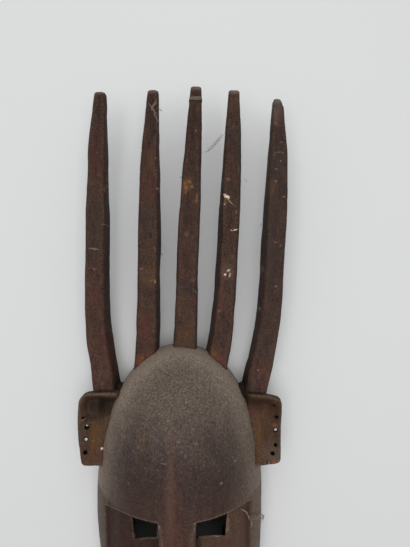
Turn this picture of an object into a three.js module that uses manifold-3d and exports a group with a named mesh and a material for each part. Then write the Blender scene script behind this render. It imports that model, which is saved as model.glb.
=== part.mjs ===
import * as THREE from 'three';
import { mergeVertices } from 'three/addons/utils/BufferGeometryUtils.js';
import Module from 'manifold-3d';

// A carved wooden mask that lies on its back: hollow head, domed forehead over
// a stepped brow, long nose, small mouth, two ear plates and five tall horns.
// Millimetres. X runs across the face, Y from the chin to the horn tips, and Z
// up out of the face. While it is being built, Y = 0 is the brow, X = 0 is the
// middle of the face and Z = 0 is the back rim that the mask lies on.

// Head
const CROWN_Y = 141;
const CHIN_Y = -237.4;
const HEAD_HALF_WIDTH = 85.5;
const JAW_HALF_WIDTH = 63;
const JAW_Y = -170;
const CHEEK_TAPER = 2.3;
const CHIN_NARROWING = 0.2;
const CHIN_POWER = 2.6;
const WIDEST_Z = 30;
const DOME_Z = 111;
const FACE_Z = 89;
const CHIN_Z = 82;
const PROFILE_FULLNESS = 0.46;
const DOME_FULLNESS = 0.62;
const BROW_FULLNESS = 0.78;
const FACE_POWER = 3.6;
const FACE_FULLNESS = 0.8;
const SIDE_TUCK = 5;
const CROWN_TUCK = 7;
const BROW_SLOPE = 2;

// The brow's edge hangs lower at the temples, and the face lies behind a rim
const LEFT_SAG = 10;
const RIGHT_SAG = 4.8;
const SAG_POWER = 4;
const SAG_ABOVE = 60;
const SAG_BELOW = 70;
const RIM_X = 70.5;
const RIM_SLOPE = 4.5;
const RECESS = 3.6;

// Hollow behind the face
const WALL = 14;
const END_WALL = 20;
const ROOF = 15;
const HOLLOW_SIDE_Z = 22.5;
const HOLLOW_OVERSHOOT = 10;
const HOLLOW_POWER = 2.4;
const HOLLOW_FULLNESS = 0.6;
const HOLLOW_STEP_Y = { from: -10, to: 40 };

// Nose, mouth and chin ridge
const NOSE_X = 1.3;
const NOSE_START_Y = 20;
const NOSE_START_Z = 108;
const NOSE_TOP_WIDTH = 32;
const NOSE_MID_WIDTH = 30;
const NOSE_TIP_WIDTH = 36;
const NOSE_TIP_Y = -148;
const NOSE_Z = 111;
const NOSE_TIP_Z = 106;
const NOSE_BEVEL = 4;
const NOSE_SPREAD = 2;
const MOUTH_Y = -178;
const MOUTH_WIDTH = 42;
const MOUTH_HEIGHT = 20;
const MOUTH_Z = 96;
const MOUTH_BEVEL = 3;
const MOUTH_SPREAD = 1;
const MOUTH_SLIT_WIDTH = 34;
const MOUTH_SLIT = 4;
const MOUTH_SLIT_DEPTH = 6;

// Eye holes, as x of the outer and inner side and y of the lower side
const EYE_TOP_Y = -4;
const LEFT_EYE = { outer: -41, inner: -18, bottom: -26 };
const RIGHT_EYE = { outer: 45, inner: 17.5, bottom: -24 };

// Ear plates, each as corners with x, y and how far along its two sides the
// corner's rounding reaches, and the dish hollowed in the front of each
const EAR_FRONT_Z = 50;
const EAR_BACK_Z = 30;
const EAR_BEVEL = 1.5;
const LEFT_EAR = [[-64, 21.4, 0], [-99.6, 21.4, 5], [-102.6, 54, 10], [-102.6, 95.4, 14], [-64, 95.6, 0]];
const RIGHT_EAR = [[64, 21, 0], [88, 21.6, 4], [101.8, 24, 5], [101.9, 62, 10], [104, 88.4, 7],
  [82, 93.2, 8], [64, 94.8, 0]];
const LEFT_DISH = { x: -84, y: 75, z: 53, across: 14, along: 14, depth: 12 };
const RIGHT_DISH = { x: 86, y: 62, z: 56, across: 14, along: 26, depth: 11 };

// Holes through the ears, as x and y
const EAR_HOLE_RADIUS = 2.2;
const LEFT_EAR_HOLES = [[-93.5, 60], [-94, 47.5], [-94.5, 35]];
const RIGHT_EAR_HOLES = [[95, 81], [97, 70], [96.5, 58.5], [96, 42.5], [93, 34]];

// Horns. The middle line rises from the root to the belly.
const HORN_ROOT_Y = 88;
const HORN_BEND_Y = 147;
const HORN_BELLY_Y = 237;
const HORN_SHOULDER_Y = 333.6;
const HORN_ROOT_Z = 32;
const HORN_BEND_Z = 36;
const HORN_MID_Z = 50;
const HORN_ROOT_DEPTH = 18;
const HORN_BELLY_DEPTH = 20.5;
const HORN_TIP_DEPTH = 10.5;
const HORN_TAPER = 1.9;
const HORN_CHAMFER = 0.11;

// From left to right: the y of the tip, the width at the root, the belly and
// the tip, how far the side towards the middle leans in at the front at the
// root and the belly, and x of the middle line at the root, the low bend, the
// belly, the shoulder and the tip
const HORNS = [
  { tipY: 393.6, width: [27, 22, 11], lean: [5, 1.2], x: [-74.6, -82.4, -81.5, -80.9, -78.8] },
  { tipY: 396, width: [26, 22, 11], lean: [3.4, 1.2], x: [-38, -33.1, -30, -28.8, -26.1] },
  { tipY: 399.2, width: [26, 21.6, 11.2], lean: [0, 0], x: [3, 5.4, 8.7, 13.4, 16.6] },
  { tipY: 395.5, width: [27, 22, 11.4], lean: [5.2, 4.2], x: [29.4, 40.4, 47.2, 52.6, 54.3] },
  { tipY: 386, width: [27, 23.6, 10], lean: [3.2, 3.4], x: [74.6, 87, 93, 98, 98.2] },
];

// Low webs of wood between the crown and the outer horns
const WEB = { x: 62.5, y: 92.6, z: 32, across: 5, along: 10.8, depth: 9 };

// Facets
const SECTION_STEPS = 40;
const DOME_STEPS = 18;
const FACE_STEPS = 20;
const HOLLOW_STEPS = 24;
const HORN_STEPS = 16;
const ROUND_STEPS = 20;
const HOLE_STEPS = 12;
const CORNER_STEPS = 4;

const WOOD = new THREE.MeshStandardMaterial({ color: 0x4b362f, roughness: 0.72, metalness: 0 });

const wasm = await Module();
wasm.setup();

function toSolid(geometry) {
  const bare = geometry.clone();
  bare.deleteAttribute('normal');
  bare.deleteAttribute('uv');
  const merged = mergeVertices(bare, 1e-4);
  return new wasm.Manifold(new wasm.Mesh({
    numProp: 3,
    vertProperties: new Float32Array(merged.attributes.position.array),
    triVerts: new Uint32Array(merged.index.array),
  }));
}

function toGeometry(solid) {
  const mesh = solid.getMesh();
  const geometry = new THREE.BufferGeometry();
  geometry.setAttribute('position', new THREE.BufferAttribute(mesh.vertProperties, 3));
  geometry.setIndex(new THREE.BufferAttribute(mesh.triVerts, 1));
  geometry.computeVertexNormals();
  return geometry;
}

// Skin over a row of closed rings that all have the same number of points and
// turn left about their direction of travel, with a fan on each end.
function loft(rings) {
  const count = rings[0].length;
  const points = rings.flat();
  const faces = [];
  for (let r = 0; r + 1 < rings.length; r += 1) {
    for (let i = 0; i < count; i += 1) {
      const next = (i + 1) % count;
      const a = r * count + i;
      const b = r * count + next;
      const c = a + count;
      const d = b + count;
      faces.push(a, d, b, a, c, d);
    }
  }
  const lastRing = (rings.length - 1) * count;
  for (const [start, flip] of [[0, false], [lastRing, true]]) {
    const middle = new THREE.Vector3();
    for (let i = 0; i < count; i += 1) middle.add(points[start + i]);
    points.push(middle.divideScalar(count));
    for (let i = 0; i < count; i += 1) {
      const a = start + i;
      const b = start + ((i + 1) % count);
      faces.push(points.length - 1, flip ? b : a, flip ? a : b);
    }
  }
  const geometry = new THREE.BufferGeometry().setFromPoints(points);
  geometry.setIndex(faces);
  return geometry;
}

function blend(from, to, amount) {
  return from + (to - from) * amount;
}

function smooth(from, to, value) {
  return THREE.MathUtils.smoothstep(value, from, to);
}

// Half width of the head in plan: half an ellipse round the crown, nearly
// straight cheeks that narrow to the jaw, and a round chin. The inset outline
// is the hollow's, `side` mm in from the sides and `end` mm from both ends.
function halfWidth(y, side = 0, end = 0) {
  const crown = CROWN_Y - end;
  const chin = CHIN_Y + end;
  const brow = HEAD_HALF_WIDTH - side;
  const jaw = JAW_HALF_WIDTH - side;
  if (y >= 0) return brow * Math.sqrt(Math.max(0, 1 - (y / crown) ** 2));
  if (y > JAW_Y) return blend(brow, jaw, (y / JAW_Y) ** CHEEK_TAPER);
  const round = (JAW_Y - y) / (JAW_Y - chin);
  return jaw * (1 - CHIN_NARROWING * round) * Math.sqrt(Math.max(0, 1 - round ** CHIN_POWER));
}

// Height of the front surface at x, above the widest level, as a share of the
// height in the middle: 1 in the middle and 0 at the side, `half` away.
function archShare(x, half, power, fullness) {
  return (1 - Math.min(1, Math.abs(x) / half) ** power) ** fullness;
}

function domeHeight(x, y, half) {
  const along = y / CROWN_Y;
  const rise = (DOME_Z - WIDEST_Z) * (1 - along ** 2) ** PROFILE_FULLNESS;
  return WIDEST_Z + rise * archShare(x, half, 2, blend(BROW_FULLNESS, DOME_FULLNESS, along));
}

// The face is a flatter arch. Towards the sides it follows the brow's section,
// set back by the recess up to a rim along each side.
function faceHeight(x, y, half) {
  const past = Math.max(0, (JAW_Y - y) / (JAW_Y - CHIN_Y));
  const ridge = blend(FACE_Z, CHIN_Z, smooth(0, 1, y / CHIN_Y));
  const rise = (ridge - WIDEST_Z) * Math.sqrt(Math.max(0, 1 - past ** 3));
  const arch = WIDEST_Z + rise * archShare(x, half, FACE_POWER, FACE_FULLNESS);
  const lane = Math.abs(x) * HEAD_HALF_WIDTH / half;
  const inside = (1 - smooth(RIM_X - RIM_SLOPE, RIM_X, lane)) * Math.sqrt(1 - past);
  return Math.min(arch, domeHeight(lane, 0, HEAD_HALF_WIDTH) - RECESS * inside);
}

// How far the rings near the brow hang down at x.
function sagAt(x, y) {
  const near = smooth(-SAG_BELOW, 0, y) * (1 - smooth(0, SAG_ABOVE, y));
  return (x < 0 ? LEFT_SAG : RIGHT_SAG) * (Math.abs(x) / RIM_X) ** SAG_POWER * near;
}

// One ring of the head at y: over the front from left to right, then round the
// back, where the wall leans in towards the rim.
function headRing(y, height) {
  const half = Math.max(halfWidth(y), 0.5);
  const ring = [];
  for (let i = 0; i <= SECTION_STEPS; i += 1) {
    const x = -half * Math.cos((i / SECTION_STEPS) * Math.PI);
    ring.push(new THREE.Vector3(x, y - sagAt(x, y), height(x, y, half)));
  }
  const tuck = Math.min(SIDE_TUCK, half * 0.4);
  const crownPull = CROWN_TUCK * Math.max(0, y / CROWN_Y) ** 3;
  const chinPull = SIDE_TUCK * Math.max(0, (JAW_Y - y) / (JAW_Y - CHIN_Y)) ** 3;
  for (const [side, share] of [[1, 0.5], [1, 1], [-1, 1], [-1, 0.5]]) {
    const lean = share * share;
    const x = side * (half - tuck * lean);
    const shift = (chinPull - crownPull) * lean - sagAt(side * half, y);
    ring.push(new THREE.Vector3(x, y + shift, WIDEST_Z * (1 - share)));
  }
  return ring;
}

function headSolid() {
  const rings = [];
  for (let i = 0; i <= DOME_STEPS; i += 1) {
    const y = CROWN_Y * Math.cos((i / DOME_STEPS) * Math.PI * 0.5);
    rings.push(headRing(Math.min(y, CROWN_Y - 0.01), domeHeight));
  }
  for (let i = 0; i <= FACE_STEPS; i += 1) {
    const run = Math.sin((i / FACE_STEPS) * Math.PI * 0.5);
    const y = -BROW_SLOPE + (CHIN_Y + BROW_SLOPE) * run;
    rings.push(headRing(Math.max(y, CHIN_Y + 0.01), faceHeight));
  }
  return toSolid(loft(rings));
}

// The hollow is a plain gouged trough that follows the outside at the wall's
// thickness, without the step of the brow, and opens through the back.
function hollowSolid() {
  const top = CROWN_Y - END_WALL;
  const bottom = CHIN_Y + END_WALL;
  const low = HOLLOW_SIDE_Z;
  const rings = [];
  for (let i = 0; i <= HOLLOW_STEPS; i += 1) {
    const turn = Math.cos((i / HOLLOW_STEPS) * Math.PI);
    const y = (top + bottom) / 2 + ((top - bottom) / 2 - 0.01) * turn;
    const half = Math.max(halfWidth(y, WALL, END_WALL), 0.5);
    const raised = smooth(HOLLOW_STEP_Y.from, HOLLOW_STEP_Y.to, y);
    const roof = blend(FACE_Z, DOME_Z, raised) - ROOF;
    const rise = (roof - low) * Math.sqrt(1 - turn ** 4);
    const ring = [];
    for (let k = 0; k <= SECTION_STEPS / 2; k += 1) {
      const x = -half * Math.cos((k / (SECTION_STEPS / 2)) * Math.PI);
      const share = archShare(x, half, HOLLOW_POWER, HOLLOW_FULLNESS);
      ring.push(new THREE.Vector3(x, y, low + rise * share));
    }
    ring.push(new THREE.Vector3(half, y, -HOLLOW_OVERSHOOT));
    ring.push(new THREE.Vector3(-half, y, -HOLLOW_OVERSHOOT));
    rings.push(ring);
  }
  return toSolid(loft(rings));
}

// A bar with sloping sides and a bevel along both top edges. Each station is
// its y, the width over the sides, and the height of the top.
function bevelledBar(stations, bevel, foot, spread) {
  const rings = stations.map(([y, width, z]) => {
    const half = width / 2;
    const outline = [[-half - spread, foot], [-half, z - bevel], [bevel - half, z],
      [half - bevel, z], [half, z - bevel], [half + spread, foot]];
    return outline.map(([x, height]) => new THREE.Vector3(NOSE_X + x, y, height));
  });
  return toSolid(loft(rings));
}

// The nose starts inside the dome at the brow and runs straight down the face.
function noseSolid() {
  return bevelledBar([
    [NOSE_START_Y, NOSE_TOP_WIDTH, NOSE_START_Z],
    [0, NOSE_TOP_WIDTH, NOSE_Z],
    [NOSE_TIP_Y / 2, NOSE_MID_WIDTH, blend(NOSE_Z, NOSE_TIP_Z, 0.5)],
    [NOSE_TIP_Y + NOSE_BEVEL, NOSE_TIP_WIDTH, NOSE_TIP_Z],
    [NOSE_TIP_Y, NOSE_TIP_WIDTH - NOSE_BEVEL, NOSE_TIP_Z - NOSE_BEVEL],
  ], NOSE_BEVEL, FACE_Z - ROOF / 2, NOSE_SPREAD);
}

function mouthSolid() {
  const top = MOUTH_Y + MOUTH_HEIGHT / 2;
  const bottom = MOUTH_Y - MOUTH_HEIGHT / 2;
  const block = bevelledBar([
    [top, MOUTH_WIDTH, MOUTH_Z - MOUTH_BEVEL],
    [top - MOUTH_BEVEL, MOUTH_WIDTH, MOUTH_Z],
    [bottom + MOUTH_BEVEL, MOUTH_WIDTH, MOUTH_Z],
    [bottom, MOUTH_WIDTH, MOUTH_Z - MOUTH_BEVEL],
  ], MOUTH_BEVEL, FACE_Z - ROOF, MOUTH_SPREAD);
  const slit = new THREE.BoxGeometry(MOUTH_SLIT_WIDTH, MOUTH_SLIT, MOUTH_SLIT_DEPTH * 2);
  slit.translate(NOSE_X, MOUTH_Y, MOUTH_Z);
  return block.subtract(toSolid(slit));
}

function eyeSolid({ outer, inner, bottom }) {
  const hole = new THREE.BoxGeometry(Math.abs(outer - inner), EYE_TOP_Y - bottom, DOME_Z);
  hole.translate((outer + inner) / 2, (EYE_TOP_Y + bottom) / 2, WIDEST_Z + DOME_Z / 2);
  return toSolid(hole);
}

// An ellipsoid of the given half sizes.
function ellipsoid({ x, y, z, across, along, depth }) {
  const ball = new THREE.SphereGeometry(1, ROUND_STEPS, ROUND_STEPS * 0.75);
  ball.scale(across, along, depth);
  ball.translate(x, y, z);
  return toSolid(ball);
}

// A closed outline of straight sides, each corner rounded by a parabola that
// reaches as far along both of its sides as the corner's reach.
function roundedOutline(corners) {
  const outline = new THREE.Shape();
  corners.forEach(([x, y, reach], i) => {
    const corner = new THREE.Vector2(x, y);
    const [leave, meet] = [i - 1, i + 1].map((k) => {
      const [nextX, nextY] = corners.at(k % corners.length);
      return new THREE.Vector2(nextX, nextY).sub(corner).setLength(reach).add(corner);
    });
    if (i === 0) {
      outline.moveTo(leave.x, leave.y);
    } else {
      outline.lineTo(leave.x, leave.y);
    }
    if (reach > 0) {
      outline.quadraticCurveTo(x, y, meet.x, meet.y);
    }
  });
  return outline;
}

// An ear plate with an ellipsoid scooped out of its front, and its holes.
function earSolid(corners, dish, holes) {
  const plate = new THREE.ExtrudeGeometry(roundedOutline(corners), {
    curveSegments: CORNER_STEPS,
    depth: EAR_FRONT_Z - EAR_BACK_Z - 2 * EAR_BEVEL,
    bevelThickness: EAR_BEVEL,
    bevelSize: EAR_BEVEL,
    bevelOffset: -EAR_BEVEL,
    bevelSegments: 1,
  });
  plate.translate(0, 0, EAR_BACK_Z + EAR_BEVEL);
  let ear = toSolid(plate).subtract(ellipsoid(dish));
  for (const [x, y] of holes) {
    const bore = new THREE.CylinderGeometry(EAR_HOLE_RADIUS, EAR_HOLE_RADIUS, EAR_FRONT_Z, HOLE_STEPS);
    bore.rotateX(Math.PI / 2);
    bore.translate(x, y, (EAR_FRONT_Z + EAR_BACK_Z) / 2);
    ear = ear.subtract(toSolid(bore));
  }
  return ear;
}

// A horn's section is a square with its corners cut off, and its side towards
// the middle leans in at the front. It thins slowly up to the belly and quickly
// from there to the square-cut tip.
function hornSolid({ tipY, width: [rootWidth, bellyWidth, tipWidth], lean: [rootLean, bellyLean], x }) {
  const stations = [HORN_ROOT_Y, HORN_BEND_Y, HORN_BELLY_Y, HORN_SHOULDER_Y, tipY];
  const heights = [HORN_ROOT_Z, HORN_BEND_Z, HORN_MID_Z, HORN_MID_Z, HORN_MID_Z];
  const middle = stations.map((y, i) => new THREE.Vector3(x[i], y, heights[i]));
  const inner = x[2] > 0 ? -1 : 1;
  const path = new THREE.CatmullRomCurve3(middle, false, 'centripetal');
  const rings = [];
  for (let i = 0; i <= HORN_STEPS; i += 1) {
    const centre = path.getPointAt(i / HORN_STEPS);
    const heading = path.getTangentAt(i / HORN_STEPS);
    const across = new THREE.Vector3(heading.y, -heading.x, 0).normalize();
    const low = smooth(HORN_ROOT_Y, HORN_BELLY_Y, centre.y);
    const high = Math.max(0, (centre.y - HORN_BELLY_Y) / (tipY - HORN_BELLY_Y)) ** HORN_TAPER;
    const width = blend(blend(rootWidth, bellyWidth, low), tipWidth, high);
    const depth = blend(blend(HORN_ROOT_DEPTH, HORN_BELLY_DEPTH, low), HORN_TIP_DEPTH, high);
    const lean = blend(blend(rootLean, bellyLean, low), 0, high);
    const cut = HORN_CHAMFER * width;
    const w = width / 2;
    const d = depth / 2;
    const corners = [[w, d - cut], [w - cut, d], [cut - w, d], [-w, d - cut],
      [-w, cut - d], [cut - w, -d], [w - cut, -d], [w, cut - d]];
    rings.push(corners.map(([a, b]) => {
      const pull = inner * lean * Math.max(0, inner * a / w) * (b / d + 1) / 2;
      return centre.clone().addScaledVector(across, a - pull).add(new THREE.Vector3(0, 0, b));
    }));
  }
  return toSolid(loft(rings));
}

function maskSolid() {
  let mask = headSolid();
  mask = mask.add(earSolid(LEFT_EAR, LEFT_DISH, LEFT_EAR_HOLES));
  mask = mask.add(earSolid(RIGHT_EAR, RIGHT_DISH, RIGHT_EAR_HOLES));
  for (const horn of HORNS) mask = mask.add(hornSolid(horn));
  for (const x of [-WEB.x, WEB.x]) mask = mask.add(ellipsoid({ ...WEB, x }));
  mask = mask.add(noseSolid());
  mask = mask.add(mouthSolid());
  mask = mask.subtract(hollowSolid());
  mask = mask.subtract(eyeSolid(LEFT_EYE));
  return mask.subtract(eyeSolid(RIGHT_EYE));
}

// The finished part has its origin under the middle of its bounding box.
function standOnOrigin(geometry) {
  geometry.computeBoundingBox();
  const { min, max } = geometry.boundingBox;
  geometry.translate(-(min.x + max.x) / 2, -(min.y + max.y) / 2, -min.z);
  return geometry;
}

const mask = new THREE.Mesh(standOnOrigin(toGeometry(maskSolid())), WOOD);
mask.name = 'ntomo_mask';

const group = new THREE.Group();
group.add(mask);

export default group;
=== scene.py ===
"""A carved wooden face mask with tall horns, lying on its back on a pale floor.

The mask is one closed mesh, worked out with numpy in millimetres and then put in metres. Its
carving frame has X across the face from the middle, Y from the brow towards the horn tips, and Z
up out of the face from the back rim.
"""

import logging
import math
from dataclasses import dataclass
from dataclasses import field
from enum import Enum
from enum import IntEnum
from functools import reduce

import bpy
import numpy as np
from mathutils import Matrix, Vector

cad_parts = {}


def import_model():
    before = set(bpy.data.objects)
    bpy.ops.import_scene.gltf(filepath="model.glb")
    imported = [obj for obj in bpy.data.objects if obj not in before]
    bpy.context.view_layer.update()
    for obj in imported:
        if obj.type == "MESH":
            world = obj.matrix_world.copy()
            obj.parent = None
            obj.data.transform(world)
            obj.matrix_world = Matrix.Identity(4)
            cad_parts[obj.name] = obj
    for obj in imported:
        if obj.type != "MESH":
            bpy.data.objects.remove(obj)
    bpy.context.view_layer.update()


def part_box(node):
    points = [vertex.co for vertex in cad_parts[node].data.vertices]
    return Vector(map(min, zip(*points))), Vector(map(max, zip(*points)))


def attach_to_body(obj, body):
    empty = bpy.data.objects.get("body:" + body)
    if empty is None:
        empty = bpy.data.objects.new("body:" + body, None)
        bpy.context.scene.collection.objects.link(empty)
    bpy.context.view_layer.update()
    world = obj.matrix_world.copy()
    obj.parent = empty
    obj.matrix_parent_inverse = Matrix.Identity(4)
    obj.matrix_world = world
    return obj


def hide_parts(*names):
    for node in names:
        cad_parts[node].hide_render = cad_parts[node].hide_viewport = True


LOG = logging.getLogger("mask")
NODE = "ntomo_mask"
BODY = "root"
MM = 0.001
# The carving's greatest height, and the places of its left side and its chin, in mm
TOP = 110.9
LEFT_SIDE = -102.6
CHIN_SIDE = -237.4
# The angle in degrees past which an edge stays sharp
SHARP = 48.0
# Odd factors and shifts that scatter whole numbers evenly, and what keeps lattice corners positive
CELL_FACTORS = (73856093, 19349663, 83492791)
SEED_FACTOR = 2654435761
SCATTER = ((15, 2246822519), (13, 3266489917))
LATTICE_SHIFT = 512.0

Array = np.ndarray
Triple = tuple[float, float, float]
Span = tuple[float, float]
Node = bpy.types.Node
Socket = bpy.types.NodeSocket


class Wood(IntEnum):
    """The finishes of the carving, in the order of its material slots."""

    HEAD = 0
    HORN = 1
    EAR = 2
    HOLLOW = 3


def blend(start: Array, end: Array, share: Array) -> Array:
    """Straight mix of two values: start plus share times the way to end."""
    return start + (end - start) * share


def ease(low: float, high: float, value: Array) -> Array:
    """Smooth step from 0 at low to 1 at high, which may be below low: 3t squared minus 2t cubed."""
    t = np.clip((value - low) / (high - low), 0.0, 1.0)
    return t * t * (3.0 - 2.0 * t)


def bump(value: Array, middle: float, width: float) -> Array:
    """Bell curve, exp of minus the squared distance from middle over width."""
    return np.exp(-(((value - middle) / width) ** 2))


def new_object(name: str, data: bpy.types.ID) -> bpy.types.Object:
    """A mesh, lamp or camera as an object in the scene."""
    thing = bpy.data.objects.new(name, data)
    bpy.context.scene.collection.objects.link(thing)
    return thing


@dataclass(frozen=True)
class Unevenness:
    """Smooth random relief, the same on every run.

    Each corner of a cubic lattice has a random height from its own whole numbers, and a point
    between them takes the eased mix of the eight round it.

    Attributes:
        seed: which of the random lattices this is.
        pitch: lattice spacing in mm along x, y and z.
    """

    seed: int
    pitch: Triple

    def corner(self, cell: Array) -> Array:
        """Random heights of lattice corners, each from a scattered mix of its whole numbers.

        Args:
            cell: the corners' whole numbers, shape (..., 3).

        Returns:
            one height from -1 to 1 for each.
        """
        mixed = cell.astype(np.uint64) * np.array(CELL_FACTORS, np.uint64)
        value = mixed[..., 0] ^ mixed[..., 1] ^ mixed[..., 2] ^ np.uint64(self.seed * SEED_FACTOR)
        for shift, factor in SCATTER:
            value = (value ^ (value >> np.uint64(shift))) * np.uint64(factor)
        value = (value ^ (value >> np.uint64(16))) & np.uint64(0xFFFF)
        return value.astype(float) / 32767.5 - 1.0

    def at(self, points: Array) -> Array:
        """Heights at points.

        Args:
            points: places in mm, shape (..., 3).

        Returns:
            one height from -1 to 1 for each.
        """
        scaled = points / np.array(self.pitch) + LATTICE_SHIFT
        cell = np.floor(scaled)
        share = scaled - cell
        share = share * share * (3.0 - 2.0 * share)
        total = np.zeros(points.shape[:-1])
        for step in np.ndindex(2, 2, 2):
            weight = np.prod(np.where(np.array(step) == 1, share, 1.0 - share), axis=-1)
            total += weight * self.corner(cell + np.array(step))
        return total


def skin_faces(rows: int, columns: int) -> Array:
    """Quads of a tube of closed rings, facing out where the rings turn left as they travel.

    Args:
        rows: how many rings.
        columns: how many points on each ring.

    Returns:
        corner numbers, shape (quads, 4).
    """
    row, column = np.meshgrid(np.arange(rows - 1), np.arange(columns), indexing="ij")
    after = (column + 1) % columns
    near = row * columns
    far = near + columns
    return np.stack([near + column, far + column, far + after, near + after], -1).reshape(-1, 4)


def end_faces(start: int, columns: int, first: bool) -> Array:
    """Quads across an end ring, each between two opposite edges of the ring.

    Args:
        start: number of the ring's first point.
        columns: how many points it has, an even number.
        first: whether it is the first ring of the tube.

    Returns:
        corner numbers, shape (quads, 4).
    """
    near = np.arange(columns // 2 - 1)
    far = columns - 1 - near
    quads = np.stack([near, near + 1, far - 1, far], -1) + start
    return quads if first else quads[:, ::-1]


def closed_tube(rings: Array) -> tuple[Array, Array]:
    """Points and faces of a tube with both ends closed.

    Args:
        rings: places, shape (rows, columns, 3), with an even number of columns.

    Returns:
        the points, shape (n, 3), and the quads.
    """
    rows, columns = rings.shape[:2]
    last = (rows - 1) * columns
    faces = [
        skin_faces(rows, columns),
        end_faces(0, columns, True),
        end_faces(last, columns, False),
    ]
    return rings.reshape(-1, 3), np.concatenate(faces)


def soften(grid: Array, strength: Array, rounds: int, pull: float = 0.6) -> Array:
    """Round the creases of a grid by pulling each point towards the middle of its neighbours.

    Args:
        grid: places, shape (rows, columns, 3).
        strength: from 0 to 1 for each point.
        rounds: how often it is done.
        pull: share of the way that a point goes each time at strength 1.

    Returns:
        the softened grid, its outermost points unmoved.
    """
    grid = grid.copy()
    for _ in range(rounds):
        middle = (grid[:-2, 1:-1] + grid[2:, 1:-1] + grid[1:-1, :-2] + grid[1:-1, 2:]) / 4.0
        grid[1:-1, 1:-1] += (middle - grid[1:-1, 1:-1]) * (strength[1:-1, 1:-1, None] * pull)
    return grid


@dataclass(frozen=True)
class Solid:
    """A closed mesh in the carving frame, in mm, with one finish.

    Attributes:
        points: places in mm, shape (n, 3).
        faces: corner numbers of the quads, shape (m, 4).
        finish: its finish.
    """

    points: Array
    faces: Array
    finish: Wood


def together(solids: list[Solid]) -> Solid:
    """Join solids that don't touch into one mesh.

    Args:
        solids: the solids.

    Returns:
        one mesh of them all, with the first one's finish.
    """
    starts = np.cumsum([0] + [len(solid.points) for solid in solids[:-1]])
    points = np.concatenate([solid.points for solid in solids])
    faces = np.concatenate([solid.faces + start for solid, start in zip(solids, starts)])
    return Solid(points, faces, solids[0].finish)


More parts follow.
